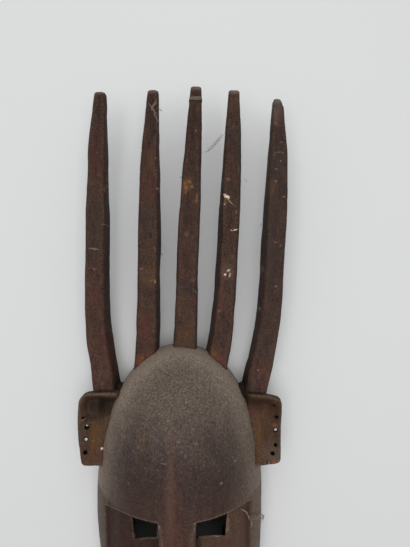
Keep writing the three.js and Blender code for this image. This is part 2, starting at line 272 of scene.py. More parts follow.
@dataclass(frozen=True)
class Head:
    """The head: domed forehead over a stepped brow, face, nose and side walls.

    Lengths are in mm in the carving frame: a half is half a width and z a height over the back.
    A power, a taper or a fullness is the exponent of an outline or an arch. A span gives the
    places between which something grows from nothing to its full size.

    Attributes:
        crown_power: the power of the outline round the crown, as chin_power round the chin.
        least_half: the least half width that a formula divides by.
        face_square: how square the face's arch is, and hollow_square the hollow's.
        side_tuck: how far the sides draw in towards the back, as crown_tuck the crown.
        brow_slope: how far along the head the brow's step runs.
        edge_rows: y of the rows along the forehead's lower edge.
        left_sag: how much lower the brow hangs at the left rim.
        brow_crease: y and width of the softened crease under the brow.
        nose_waist: where the waist begins and ends, as shares of the way down the nose.
        nose_drop: how far the nose's flat falls on its way to the tip.
        nose_flare: how much wider the nose's foot is, on each side.
        nose_end: span over which the nose ends, from its tip.
        nose_fold: span over which the nose's columns spread out on the chin, from its tip.
        rim_x: x of the inner side of the rim down each side of the face.
        rim_slope: width of the slope down from the rim, which begins to sink at rim_y.
        recess: depth of the face inside the rim.
        wall: thickness of the sides, as end_wall of the crown and chin and roof of the face.
        bulge_span: span over which the hollow rises into the forehead.
    """

    crown_y: float = 141.0
    chin_y: float = -237.0
    brow_half: float = 84.2
    crown_power: float = 2.05
    left_flare: float = 2.6
    flare_above: Span = (75.0, 10.0)
    flare_below: Span = (-112.0, 0.0)
    jaw_half: float = 62.5
    jaw_y: float = -170.0
    cheek_taper: float = 3.1
    chin_narrowing: float = 0.2
    chin_power: float = 2.6
    least_half: float = 0.5
    widest_z: float = 30.0
    dome_z: float = 110.6
    face_z: float = 89.0
    chin_z: float = 82.0
    profile_fullness: float = 0.46
    dome_fullness: float = 0.62
    brow_fullness: float = 0.78
    face_square: float = 3.6
    face_fullness: float = 0.8
    side_tuck: float = 5.0
    crown_tuck: float = 7.0
    tuck_power: float = 1.5
    brow_slope: float = 1.4
    edge_rows: tuple[float, ...] = (4.2, 3.0, 2.1, 1.4, 0.8, 0.3, 0.0)
    left_sag: float = 10.0
    right_sag: float = 4.8
    sag_power: float = 4.0
    sag_above: Span = (60.0, 0.0)
    sag_below: Span = (-70.0, 0.0)
    brow_crease: Span = (-1.0, 7.0)
    tip_crease: float = 8.0
    nose_crease: float = 0.8
    nose_x: float = 1.3
    nose_half: float = 16.2
    nose_mid_half: float = 15.2
    nose_tip_half: float = 18.0
    nose_waist: Span = (0.3, 0.55)
    nose_tip_y: float = -148.0
    nose_drop: float = 5.0
    nose_bevel: float = 2.6
    bevel_span: Span = (1.0, -14.0)
    bevel_least: float = 0.8
    nose_flare: float = 1.6
    nose_end: Span = (-3.5, 2.5)
    nose_fold: Span = (-4.0, -30.0)
    rim_x: float = 70.5
    rim_slope: float = 4.5
    rim_y: float = -60.0
    recess: float = 3.6
    wall: float = 14.0
    end_wall: float = 20.0
    roof: float = 15.0
    hollow_low: float = -10.0
    hollow_z: float = 22.5
    hollow_square: float = 2.4
    hollow_fullness: float = 0.6
    bulge_span: Span = (-10.0, 40.0)

    def half_width(self, y: Array, side: float = 0.0, end: float = 0.0) -> Array:
        """Half width of the head in plan.

        A superellipse round the crown, cheeks that narrow by a power of the way down to the
        jaw, and a superellipse round the chin.

        Args:
            y: places along the head.
            side: inset from the sides.
            end: inset from the crown and the chin.

        Returns:
            the half width at each y.
        """
        crown = self.crown_y - end
        brow = self.brow_half - side
        jaw = self.jaw_half - side
        along = np.clip(y / crown, 0.0, 1.0)
        upper = brow * (1.0 - along**self.crown_power) ** (1.0 / self.crown_power)
        down = np.clip(y / self.jaw_y, 0.0, 1.0)
        cheek = blend(brow, jaw, down**self.cheek_taper)
        past = self.past_jaw(y, end)
        lower = jaw * (1.0 - self.chin_narrowing * past) * np.sqrt(1.0 - past**self.chin_power)
        return np.where(y >= 0.0, upper, np.where(y > self.jaw_y, cheek, lower))

    def past_jaw(self, y: Array, end: float = 0.0) -> Array:
        """Share of the way from the jaw to the chin, with the chin drawn in by end."""
        return np.clip((self.jaw_y - y) / (self.jaw_y - (self.chin_y + end)), 0.0, 1.0)

    def flare(self, y: Array) -> Array:
        """How much further out the left side stands, from the temple to the jaw."""
        return self.left_flare * ease(*self.flare_above, y) * ease(*self.flare_below, y)

    def dome(self, x: Array, y: Array) -> Array:
        """Height of the forehead: a quarter oval along the head and a fuller arch across it.

        Args:
            x: places across the head, from its middle.
            y: places along the head.

        Returns:
            the height at each place.
        """
        half = np.maximum(self.half_width(y), self.least_half)
        along = np.clip(y / self.crown_y, 0.0, 1.0)
        rise = (self.dome_z - self.widest_z) * (1.0 - along**2) ** self.profile_fullness
        fullness = blend(self.brow_fullness, self.dome_fullness, along)
        across = np.clip(np.abs(x) / half, 0.0, 1.0)
        return self.widest_z + rise * (1.0 - across**2) ** fullness

    def face(self, x: Array, y: Array) -> Array:
        """Height of the face: a flatter arch, set back inside a rim down each side.

        Args:
            x: places across the head, from its middle.
            y: places along the head.

        Returns:
            the height at each place.
        """
        half = np.maximum(self.half_width(y), self.least_half)
        past = self.past_jaw(y)
        ridge = blend(self.face_z, self.chin_z, ease(0.0, self.chin_y, y))
        rise = (ridge - self.widest_z) * np.sqrt(1.0 - past**3)
        across = np.clip(np.abs(x) / half, 0.0, 1.0)
        arch = self.widest_z + rise * (1.0 - across**self.face_square) ** self.face_fullness
        brow = self.dome(x * self.brow_half / half, np.zeros_like(y))
        lane = np.abs(x) * self.brow_half / half
        inside = ease(self.rim_x, self.rim_x - self.rim_slope, lane) * (1.0 - past) ** 0.5
        rim = blend(brow, np.minimum(arch, brow), ease(self.rim_y, self.jaw_y, y))
        return np.minimum(np.where(inside > 0.0, arch, rim), rim - self.recess * inside)

    def nose_top(self, x: Array, y: Array) -> Array:
        """Height of the nose's flat: the dome's edge carried down the face, falling slowly."""
        down = np.clip(y / self.nose_tip_y, 0.0, 1.0)
        return self.dome(x, np.zeros_like(y)) - self.nose_drop * down

    def nose_width(self, y: Array) -> Array:
        """Half width of the nose: a little waist half way, and wider at the tip."""
        down = np.clip(y / self.nose_tip_y, 0.0, 1.0)
        upper = blend(self.nose_half, self.nose_mid_half, ease(0.0, self.nose_waist[0], down))
        return blend(upper, self.nose_tip_half, ease(self.nose_waist[1], 1.0, down))

    def stations(self) -> tuple[Array, Array]:
        """Rows of the head's skin, closest round the brow and the eyes.

        Each stretch has its own number of rows, evenly spaced or spaced by a cosine or a sine.

        Returns:
            the y of each row, and its share of the brow's step, from 0 on the forehead to 1 on
            the face.
        """
        turn = np.linspace(0.012, 1.0, 92, endpoint=False)
        forehead = self.crown_y * np.cos(turn * math.pi / 2.0)
        forehead = forehead[forehead > 5.0]
        edge = np.array(self.edge_rows)
        step = np.linspace(0.0, 1.0, 8)[1:]
        eyes = -self.brow_slope - np.cumsum(np.linspace(0.5, 1.8, 24))
        cheeks = np.linspace(eyes[-1], self.nose_tip_y + 9.0, 36)[1:]
        tip = np.linspace(cheeks[-1], self.nose_tip_y - 5.0, 15)[1:]
        turn = np.linspace(0.0, 0.965, 32)[1:]
        chin = tip[-1] + (self.chin_y - tip[-1]) * np.sin(turn * math.pi / 2.0)
        y = np.concatenate([forehead, edge, -self.brow_slope * step, eyes, cheeks, tip, chin])
        share = np.zeros_like(y)
        first = len(forehead) + len(edge)
        share[first : first + len(step)] = step
        share[first + len(step) :] = 1.0
        return y, share

    def nose_columns(self, y: Array) -> tuple[Array, Array, Array]:
        """Columns over the nose, from its left foot to its right foot.

        Args:
            y: the rows, shape (rows, 1).

        Returns:
            each column's distance from the nose's middle, its bevel drop, and its share of the
            way down the nose's wall, all of shape (rows, columns).
        """
        wall = np.linspace(1.0, 0.0, 6)
        bevel = np.linspace(1.0, 0.0, 5)[1:]
        flat = np.linspace(-1.0, 1.0, 16)[1:-1]
        half = self.nose_width(y)
        cut = self.nose_bevel * ease(*self.bevel_span, y)
        width = np.maximum(cut, self.bevel_least)
        left_wall = -half - self.nose_flare * wall
        left_bevel = -half + width * (1.0 - bevel)
        middle = (half - width) * flat
        columns = [left_wall, left_bevel, middle, -left_bevel[:, ::-1], -left_wall[:, ::-1]]
        foot = np.ones_like(wall)
        drop = cut * np.concatenate([foot, bevel, np.zeros_like(flat), bevel[::-1], foot])
        top = np.zeros(len(flat) + 2 * len(bevel))
        down = np.ones_like(y) * np.concatenate([wall, top, wall[::-1]])
        return np.concatenate(columns, 1), drop, down

    def sides(self, front: Array, y: Array) -> tuple[Array, Array]:
        """The side walls from the front's rims to the back, drawn in on their way.

        Args:
            front: the front's grid.
            y: its rows, shape (rows, 1).

        Returns:
            the left wall from the back up, and the right wall from the front down.
        """
        half = self.half_width(y)
        share = np.linspace(1.0, 0.0, 13)[:-1]
        lean = share**self.tuck_power
        tuck = np.minimum(self.side_tuck, half * 0.4)
        crown_pull = self.crown_tuck * np.clip(y / self.crown_y, 0.0, 1.0) ** 3
        shift = (self.side_tuck * self.past_jaw(y) ** 3 - crown_pull) * lean
        z = self.widest_z * (1.0 - share) + 0.0 * y
        left = np.stack([-(half + self.flare(y) - tuck * lean), front[:, :1, 1] + shift, z], -1)
        right = np.stack([half - tuck * lean, front[:, -1:, 1] + shift, z], -1)
        return left, right[:, ::-1]

    def surface(self) -> Array:
        """The head's outside as rings from the crown to the chin, each from the left rim over
        the front to the right rim.

        Returns:
            places, shape (rows, columns, 3).
        """
        y, step = (column[:, None] for column in self.stations())
        half = self.half_width(y)
        across, drop, down = self.nose_columns(y)
        level = self.half_width(np.zeros_like(y))
        shrink = np.where(y > 0.0, half / level, 1.0)
        fold = ease(self.nose_tip_y + self.nose_fold[0], self.nose_tip_y + self.nose_fold[1], y)
        nose_x = (self.nose_x + across) * shrink
        nose_x = blend(nose_x, (self.nose_x + across) / level * half, fold)
        foot_left = np.arccos(np.clip(-nose_x[:, :1] / half, -1.0, 1.0))
        foot_right = np.arccos(np.clip(nose_x[:, -1:] / half, -1.0, 1.0))
        sweep = np.linspace(0.0, 1.0, 48)[:-1]
        left_x = -half * np.cos(foot_left * sweep)
        right_x = half * np.cos(foot_right * sweep)[:, ::-1]
        x = np.concatenate([left_x, nose_x, right_x], 1)
        rows = y + np.zeros_like(x)
        lines = slice(left_x.shape[1], left_x.shape[1] + nose_x.shape[1])
        face = self.face(x, rows)
        nose = blend(self.nose_top(x[:, lines], rows[:, lines]) - drop, face[:, lines], down)
        ends = ease(self.nose_tip_y + self.nose_end[0], self.nose_tip_y + self.nose_end[1], rows)
        face[:, lines] = blend(face[:, lines], nose, ends[:, lines])
        dome = self.dome(x, np.maximum(rows, 0.0))
        z = np.where(rows >= 0.0, dome, blend(dome, face, step))
        outward = np.abs(x) / self.rim_x
        sag = np.where(x < 0.0, self.left_sag, self.right_sag) * outward**self.sag_power
        near_brow = ease(*self.sag_above, rows) * ease(*self.sag_below, rows)
        wide = np.where(x < 0.0, self.flare(y) * (np.abs(x) / half) ** 6, 0.0)
        front = np.stack([x - wide, rows - sag * near_brow, z], -1)
        crease = bump(rows, *self.brow_crease) + bump(rows, self.nose_tip_y, self.tip_crease)
        crease[:, lines] += self.nose_crease
        front = soften(front, np.clip(crease, 0.0, 1.0), 2)
        left, right = self.sides(front, y)
        return np.concatenate([left, front, right], 1)

    def outside(self) -> Solid:
        """The head as a full block, flat at the back."""
        return Solid(*closed_tube(self.surface()), Wood.HEAD)

    def hollow(self) -> Solid:
        """The gouged hollow behind the face, which runs out through the back.

        Rings follow the head's outline at the wall's thickness. Each is a superelliptic arch,
        and the roof falls to both ends.

        Returns:
            the solid to take away.
        """
        top = self.crown_y - self.end_wall
        bottom = self.chin_y + self.end_wall
        turn = np.cos(np.linspace(0.02, 0.98, 84) * math.pi)[:, None]
        y = (top + bottom) / 2.0 + (top - bottom) / 2.0 * turn
        half = self.half_width(y, self.wall, self.end_wall)
        low = self.hollow_z
        bulge = (self.dome_z - self.face_z) * ease(*self.bulge_span, y)
        rise = (self.face_z - self.roof + bulge - low) * np.sqrt(1.0 - turn**4)
        across = -np.cos(np.linspace(0.0, 1.0, 56) * math.pi)
        x = half * across
        z = low + rise * (1.0 - np.abs(across) ** self.hollow_square) ** self.hollow_fullness
        front = np.stack([x, y + np.zeros_like(x), z], -1)
        levels = np.linspace(self.hollow_low, low, 9)[:-1]
        side_z = levels + np.zeros_like(y)
        side_y = y + np.zeros_like(side_z)
        left = np.stack([-half + np.zeros_like(side_z), side_y, side_z], -1)
        right = np.stack([half + np.zeros_like(side_z), side_y, side_z], -1)[:, ::-1]
        return Solid(*closed_tube(np.concatenate([left, front, right], 1)), Wood.HOLLOW)


@dataclass(frozen=True)
class Horn:
    """One horn: a square section with cut corners, carried along a bent path.

    Attributes:
        x: the middle line's x at the root, low bend, belly, shoulder and tip, in mm.
        girth: its width at the root, the belly and the tip, in mm.
        tip_y: the y of the tip.
        tip_slant: how much higher the tip's right side is than its left, in mm.
        tip_round: how far the tip's right corner is rounded off, in mm.
        seed: which unevenness it has.
        lean: how far the side towards the middle leans in at the front, at the root and at the
            belly, in mm.
        taper: the power of its narrowing, higher when it stays wide for longer.
        root_y: y of its root, inside the head. Low bend, belly and shoulder follow it.
        foot: how far above the root it begins to rise and to lean.
        cut: how much of each corner is cut off.
        wander: how much the cut varies, as a share of it, about every wander_pitch.
        lean_gap: how far below the tip the lean has gone.
        end_reach: how far below the tip its slant and its rounded corner begin.
        end_rows: how far below the tip the last rows lie.
        end_draw: share of its girth that the very tip loses, from end_edge below it.
    """

    x: tuple[float, float, float, float, float]
    girth: Triple
    tip_y: float
    tip_slant: float
    tip_round: float
    seed: int
    lean: Span = (0.0, 0.0)
    taper: float = 1.9
    root_y: float = 88.0
    bend_y: float = 147.0
    belly_y: float = 237.0
    shoulder_y: float = 333.6
    foot: float = 20.0
    mid_z: float = 50.0
    root_z: float = 32.0
    root_depth: float = 17.5
    belly_depth: float = 20.0
    tip_depth: float = 10.2
    cut: float = 2.3
    wander: float = 0.4
    wander_pitch: float = 21.0
    lean_gap: float = 40.0
    end_reach: float = 8.0
    end_rows: tuple[float, ...] = (3.0, 2.1, 1.3, 0.7, 0.25, 0.0)
    end_draw: float = 0.07
    end_edge: float = 1.3

    def path(self, y: Array) -> Array:
        """The middle line's x: between two stations a cubic that leaves and arrives at the
        slopes which the neighbouring stations give.

        Args:
            y: places along the horn.

        Returns:
            the middle line's x at each y.
        """
        stations = [self.root_y, self.bend_y, self.belly_y, self.shoulder_y, self.tip_y]
        knots = np.array(stations)
        values = np.array(self.x)
        slopes = np.gradient(values, knots)
        place = np.clip(np.searchsorted(knots, y, "right") - 1, 0, 3)
        span = knots[place + 1] - knots[place]
        t = (y - knots[place]) / span
        ahead = t * t * (3.0 - 2.0 * t)
        leave = t * (1.0 - t) ** 2 * span
        arrive = -t * t * (1.0 - t) * span
        near = values[place] + leave * slopes[place] + arrive * slopes[place + 1]
        return near + ahead * (values[place + 1] - values[place])

    def rise(self, y: Array) -> Array:
        """Share of the way from the root's height and lean to the belly's."""
        return ease(self.root_y + self.foot, self.belly_y, y)

    def middle_z(self, y: Array) -> Array:
        """The middle line's z at y: it rises from the root to the belly."""
        return blend(self.root_z, self.mid_z, self.rise(y))

    def half_sizes(self, y: Array) -> tuple[Array, Array]:
        """The section's size: an eased swelling from the root to the belly, then a power curve
        down to the tip.

        Args:
            y: places along the horn.

        Returns:
            half its width and half its depth at each y.
        """
        low = ease(self.root_y, self.belly_y, y)
        high = np.clip((y - self.belly_y) / (self.tip_y - self.belly_y), 0.0, 1.0) ** self.taper
        root, belly, tip = self.girth
        width = blend(blend(root, belly, low), tip, high)
        depth = blend(blend(self.root_depth, self.belly_depth, low), self.tip_depth, high)
        return width / 2.0, depth / 2.0

    def section(self, w: Array, d: Array, cut: Array) -> tuple[Array, Array]:
        """Outlines of a rectangle with cut corners, one row for each half width w.

        The front and the back have eight points each, the sides five and the cuts two.

        Args:
            w: half widths, shape (rows, 1).
            d: half depths.
            cut: how much of each corner is cut off.

        Returns:
            places across the horn and up from its middle line, shape (rows, columns).
        """
        face = np.linspace(-1.0, 1.0, 9)[:-1]
        side = np.linspace(-1.0, 1.0, 6)[:-1]
        facet = np.array([0.0, 0.5])
        flat_w = w - cut
        flat_d = d - cut
        right = [w + 0.0 * side, w - cut * facet]
        top = [-flat_w * face, -flat_w - cut * facet]
        left = [-w + 0.0 * side, -w + cut * facet]
        under = [flat_w * face, flat_w + cut * facet]
        across = np.concatenate(right + top + left + under, 1)
        right = [flat_d * side, flat_d + cut * facet]
        top = [d + 0.0 * face, d - cut * facet]
        left = [-flat_d * side, -flat_d - cut * facet]
        under = [-d + 0.0 * face, -d + cut * facet]
        return across, np.concatenate(right + top + left + under, 1)

    def solid(self) -> Solid:
        """The horn from its root inside the head to its square-cut tip.

        Returns:
            the closed mesh.
        """
        shaft = np.linspace(self.root_y, self.tip_y - 4.0, 186)
        tip = self.tip_y - np.array(self.end_rows)
        y = np.concatenate([shaft, tip])[:, None]
        w, d = self.half_sizes(y)
        below = (self.tip_y - y) / self.end_edge
        end = 1.0 - self.end_draw * np.clip(1.0 - below, 0.0, 1.0) ** 2.4
        w, d = w * end, d * end
        line = np.concatenate([0.0 * y, y, 0.0 * y], 1)
        wander = Unevenness(self.seed, (1.0, self.wander_pitch, 1.0)).at(line)[:, None]
        cut = np.minimum(self.cut * (1.0 + self.wander * wander), w * 0.4)
        a, b = self.section(w, d, cut)
        inner = -1.0 if self.x[2] > 0.0 else 1.0
        high = ease(self.belly_y, self.tip_y - self.lean_gap, y)
        lean = blend(blend(*self.lean, self.rise(y)), 0.0, high)
        a = a - inner * lean * np.clip(inner * a / w, 0.0, 1.0) * (b / d + 1.0) / 2.0
        middle = self.path(y)
        tilt = np.arctan(np.gradient(middle[:, 0], y[:, 0]))[:, None]
        last = ease(self.tip_y - self.end_reach, self.tip_y, y)
        slant = self.tip_slant * a / self.girth[2] * last
        corner = np.clip(a / w - 0.1, 0.0, 1.0) ** 2 * self.tip_round * last
        x = middle + a * np.cos(tilt)
        along = y - a * np.sin(tilt) + slant - corner - max(self.tip_slant, 0.0) / 2.0
        height = self.middle_z(y)
        rings = soften(np.stack([x, along, height + b], -1), np.full(a.shape, 0.5), 1)
        return Solid(*closed_tube(rings), Wood.HORN)


@dataclass(frozen=True)
class Ear:
    """One ear plate, seen from the front as an outline with rounded corners, and dished.

    Attributes:
        side: -1 for the left ear and 1 for the right.
        corners: corners of the plate in mm, each as x outward from the middle of the face, y,
            and how far along its sides its rounding reaches.
        scoop: depth of the dish under the top rim.
        floor: depth of the lower dish.
        ledge: y of the deep scoop's lower edge at the outer and the inner side.
        seam: x at which the front drops away beside the head.
        seam_width: width of that slope, which falls by seam_depth.
        centre: x outward and y of the middle of its rings.
        back_z: height of the back beside the head, and thin_z where the plate is thinner.
        thin_span: x over which it grows thinner, to no less than least.
        ledge_x: x of the ledge's outer end, and how far in its inner end lies.
        ledge_span: y over which the scoop deepens, from its ledge.
        floor_y: y over which the lower dish deepens, and floor_x the same by x.
        round_off: how far the outer edge is rounded off, over round_reach.
    """

    side: int
    corners: tuple[Triple, ...]
    scoop: float
    floor: float
    ledge: Span
    seam: float
    seam_width: float = 5.5
    seam_depth: float = 12.0
    centre: Span = (84.0, 57.0)
    front_z: float = 49.6
    back_z: float = 30.2
    thin_z: float = 39.0
    thin_span: Span = (74.0, 85.0)
    least: float = 3.4
    top_span: Span = (1.0, 14.0)
    ledge_x: Span = (100.0, 26.0)
    ledge_span: Span = (-7.0, 9.0)
    scoop_span: Span = (100.5, 90.0)
    floor_y: Span = (22.0, 48.0)
    floor_x: Span = (102.0, 84.0)
    round_off: float = 1.3
    round_reach: float = 2.2

    def edge(self, count: int) -> Array:
        """The outline as evenly spaced points.

        Straight lines join the corners, and each corner is a parabola that leaves the side
        before it, and meets the side after it, at the corner's reach.

        Args:
            count: how many points.

        Returns:
            places, shape (count, 2), turning right seen from the front of the right ear.
        """
        corners = np.array(self.corners)[:, None]
        place, reach = corners[..., :2], corners[..., 2:]
        before = np.roll(place, 1, 0) - place
        after = np.roll(place, -1, 0) - place
        leave = reach * before / np.linalg.norm(before, axis=2, keepdims=True)
        meet = reach * after / np.linalg.norm(after, axis=2, keepdims=True)
        share = np.linspace(0.0, 1.0, 12)[:, None]
        line = (place + leave * (1.0 - share) ** 2 + meet * share**2).reshape(-1, 2)
        closed = np.concatenate([line, line[:1]])
        lengths = np.concatenate([[0.0], np.cumsum(np.hypot(*np.diff(closed, axis=0).T))])
        even = np.linspace(0.0, lengths[-1], count, endpoint=False)
        return np.stack([np.interp(even, lengths, closed[:, k]) for k in (0, 1)], 1)

    def dish(self, x: Array, y: Array) -> Array:
        """Depth of the hollowed front: a scoop under the top rim, over a shallow floor, and both
        run out smoothly towards the outer edge.

        Args:
            x: places outward from the middle of the face.
            y: places along the head.

        Returns:
            the depth below the rim.
        """
        top = np.max(np.array(self.corners)[:, 1])
        outer, inner = self.ledge
        inward = np.clip((self.ledge_x[0] - x) / self.ledge_x[1], 0.0, 1.0)
        ledge = blend(outer, inner, inward)
        lip = ease(top - self.top_span[0], top - self.top_span[1], y)
        deep = ease(*self.ledge_span, y - ledge) * ease(*self.scoop_span, x) ** 0.8
        shallow = ease(*self.floor_y, y) * ease(*self.floor_x, x)
        return lip * (self.scoop * deep + self.floor * shallow)

    def solid(self) -> Solid:
        """The ear as a disc of rings out from its centre over the front, round the edge and
        back to the centre behind.

        Returns:
            the closed mesh.
        """
        edge = self.edge(120)
        middle = np.array(self.centre)
        reach = np.hypot(*(edge - middle).T)
        out = 1.0 - (1.0 - np.linspace(0.04, 1.0, 28)) ** 1.5
        flat = middle + (edge - middle) * out[:, None, None]
        inset = (1.0 - out[:, None]) * reach
        rounding = self.round_off * np.clip(1.0 - inset / self.round_reach, 0.0, 1.0) ** 2
        x, y = flat[..., 0], flat[..., 1]
        drop = self.seam_depth * ease(self.seam, self.seam - self.seam_width, x)
        front_z = self.front_z - self.dish(x, y) - rounding - drop
        back_z = blend(self.back_z, self.thin_z, ease(*self.thin_span, x)) + rounding
        front_z = np.maximum(front_z, back_z + self.least)
        front = np.stack([self.side * x, y, front_z], -1)
        back = np.stack([self.side * x, y, back_z], -1)[::-3]
        share = np.linspace(0.0, 1.0, 7)[1:-1, None]
        wall_z = blend(front_z[-1], back_z[-1], share)
        wall = np.stack([self.side * x[-1] + 0 * wall_z, y[-1] + 0 * wall_z, wall_z], -1)
        rings = np.concatenate([front, wall, back])
        if self.side > 0:
            rings = rings[:, ::-1]
        return Solid(*closed_tube(rings), Wood.EAR)


def densify(corners: Array, per_side: int) -> Array:
    """Points along a closed outline, from each corner onwards.

    Args:
        corners: the outline's corners, shape (n, 2).
        per_side: how many points each side has.

    Returns:
        the points, shape (n times per_side, 2).
    """
    ahead = np.roll(corners, -1, 0)
    share = np.arange(per_side)[:, None, None] / per_side
    return (corners + (ahead - corners) * share).transpose(1, 0, 2).reshape(-1, 2)


@dataclass(frozen=True)
class EyeHole:
    """A four-sided hole through the face, undercut so that it widens behind.

    Attributes:
        corners: top left, lower left, lower right and top right, in mm.
        low: height of its lower end, inside the hollow, in mm.
        face: height of the face, from which it widens downwards.
        high: height of its upper end, in front of the face.
        undercut: how far it widens in x and y for each mm down.
    """

    corners: tuple[Span, ...]
    low: float = 64.0
    face: float = 88.0
    high: float = 107.0
    undercut: Span = (0.2, 0.85)

    def solid(self) -> Solid:
        """The solid to take away: straight above the face and wider below it.

        Returns:
            the closed mesh.
        """
        outline = densify(np.array(self.corners), 10)
        out = outline - outline.mean(0)
        spread = out / np.abs(out).max(0) * np.array(self.undercut) * (self.face - self.low)
        spread[:, 1] = np.where(out[:, 1] > 0.0, 0.1, 1.0) * spread[:, 1]
        levels = np.array([self.high, self.face + 1.5, self.face - 1.0, self.low])
        levels = np.interp(np.linspace(0.0, 3.0, 19), np.arange(4.0), levels)
        share = np.clip((self.face - levels) / (self.face - self.low), 0.0, 1.0)
        flat = outline + spread * share[:, None, None]
        z = levels[:, None] + np.zeros(flat.shape[:2])
        return Solid(*closed_tube(np.concatenate([flat, z[..., None]], -1)), Wood.HOLLOW)


@dataclass(frozen=True)
class Bore:
    """A round hole through an ear plate.

    Attributes:
        x: the hole's x in mm.
        y: the hole's y in mm.
        radius: its radius in mm.
        through: whether it goes right through the plate.
        narrow: its radius at the back as a share of its radius in the middle.
        lean: how far it moves in x and y for each mm down from the ear's front, in mm.
        levels: heights of its rings in mm, from its mouth down.
        widths: their radii as shares of radius, before the narrow ones.
        start: the ring from which the lean is counted.
        bottom: height of its last ring, or floor when it doesn't go through.
    """

    x: float
    y: float
    radius: float = 2.1
    through: bool = True
    lean: Span = (0.0, 0.0)
    narrow: float = 0.95
    levels: tuple[float, ...] = (58.0, 49.0, 46.0, 44.0, 36.0)
    widths: tuple[float, ...] = (1.5, 1.15, 1.0, 0.95)
    start: int = 2
    bottom: float = 24.0
    floor: float = 43.0

    def solid(self) -> Solid:
        """The solid to take away, a little wider at its mouth.

        Returns:
            the closed mesh.
        """
        turn = np.linspace(0.0, 2.0 * math.pi, 20, endpoint=False)
        levels = np.array([*self.levels, self.bottom if self.through else self.floor])
        radii = self.radius * np.array([*self.widths, self.narrow, self.narrow])
        down = (self.levels[self.start] - levels)[:, None]
        x = self.x + radii[:, None] * np.cos(turn) + self.lean[0] * down
        y = self.y + radii[:, None] * np.sin(turn) + self.lean[1] * down
        z = levels[:, None] + np.zeros_like(x)
        return Solid(*closed_tube(np.stack([x, y, z], -1)), Wood.HOLLOW)


@dataclass(frozen=True)
class Block:
    """A block with rounded edges, a superellipsoid.

    Attributes:
        middle: its centre in mm.
        half: its half sizes in mm.
        finish: its finish.
        square: how square it is, from 1, an ellipsoid, towards 0, a box.
    """

    middle: Triple
    half: Triple
    finish: Wood
    square: float = 0.28

    def solid(self) -> Solid:
        """The block: cosine and sine of two angles, each raised to the power of square.

        Returns:
            the closed mesh.
        """

        def power(value: Array) -> Array:
            """A signed power."""
            return np.sign(value) * np.abs(value) ** self.square

        up = np.linspace(math.pi / 2.0 - 0.02, 0.02 - math.pi / 2.0, 26)[:, None]
        turn = np.linspace(0.0, 2.0 * math.pi, 48, endpoint=False)
        x = power(np.cos(up)) * power(np.cos(turn))
        y = power(np.cos(up)) * power(np.sin(turn))
        z = power(np.sin(up)) + np.zeros_like(x)
        rings = np.stack([x, y, z], -1) * np.array(self.half) + np.array(self.middle)
        return Solid(*closed_tube(rings), self.finish)


LEFT_EAR_CORNERS = (
    (64.0, 21.4, 0.0),
    (58.0, 94.6, 0.0),
    (100.6, 94.2, 12.0),
    (102.9, 66.0, 15.0),
    (98.8, 21.5, 5.0),
)
RIGHT_EAR_CORNERS = (
    (64.0, 21.2, 0.0),
    (58.0, 93.4, 0.0),
    (82.0, 92.8, 8.0),
    (103.4, 88.0, 7.0),
    (101.2, 62.0, 10.0),
    (101.2, 24.4, 5.0),
    (88.0, 22.0, 4.0),
)


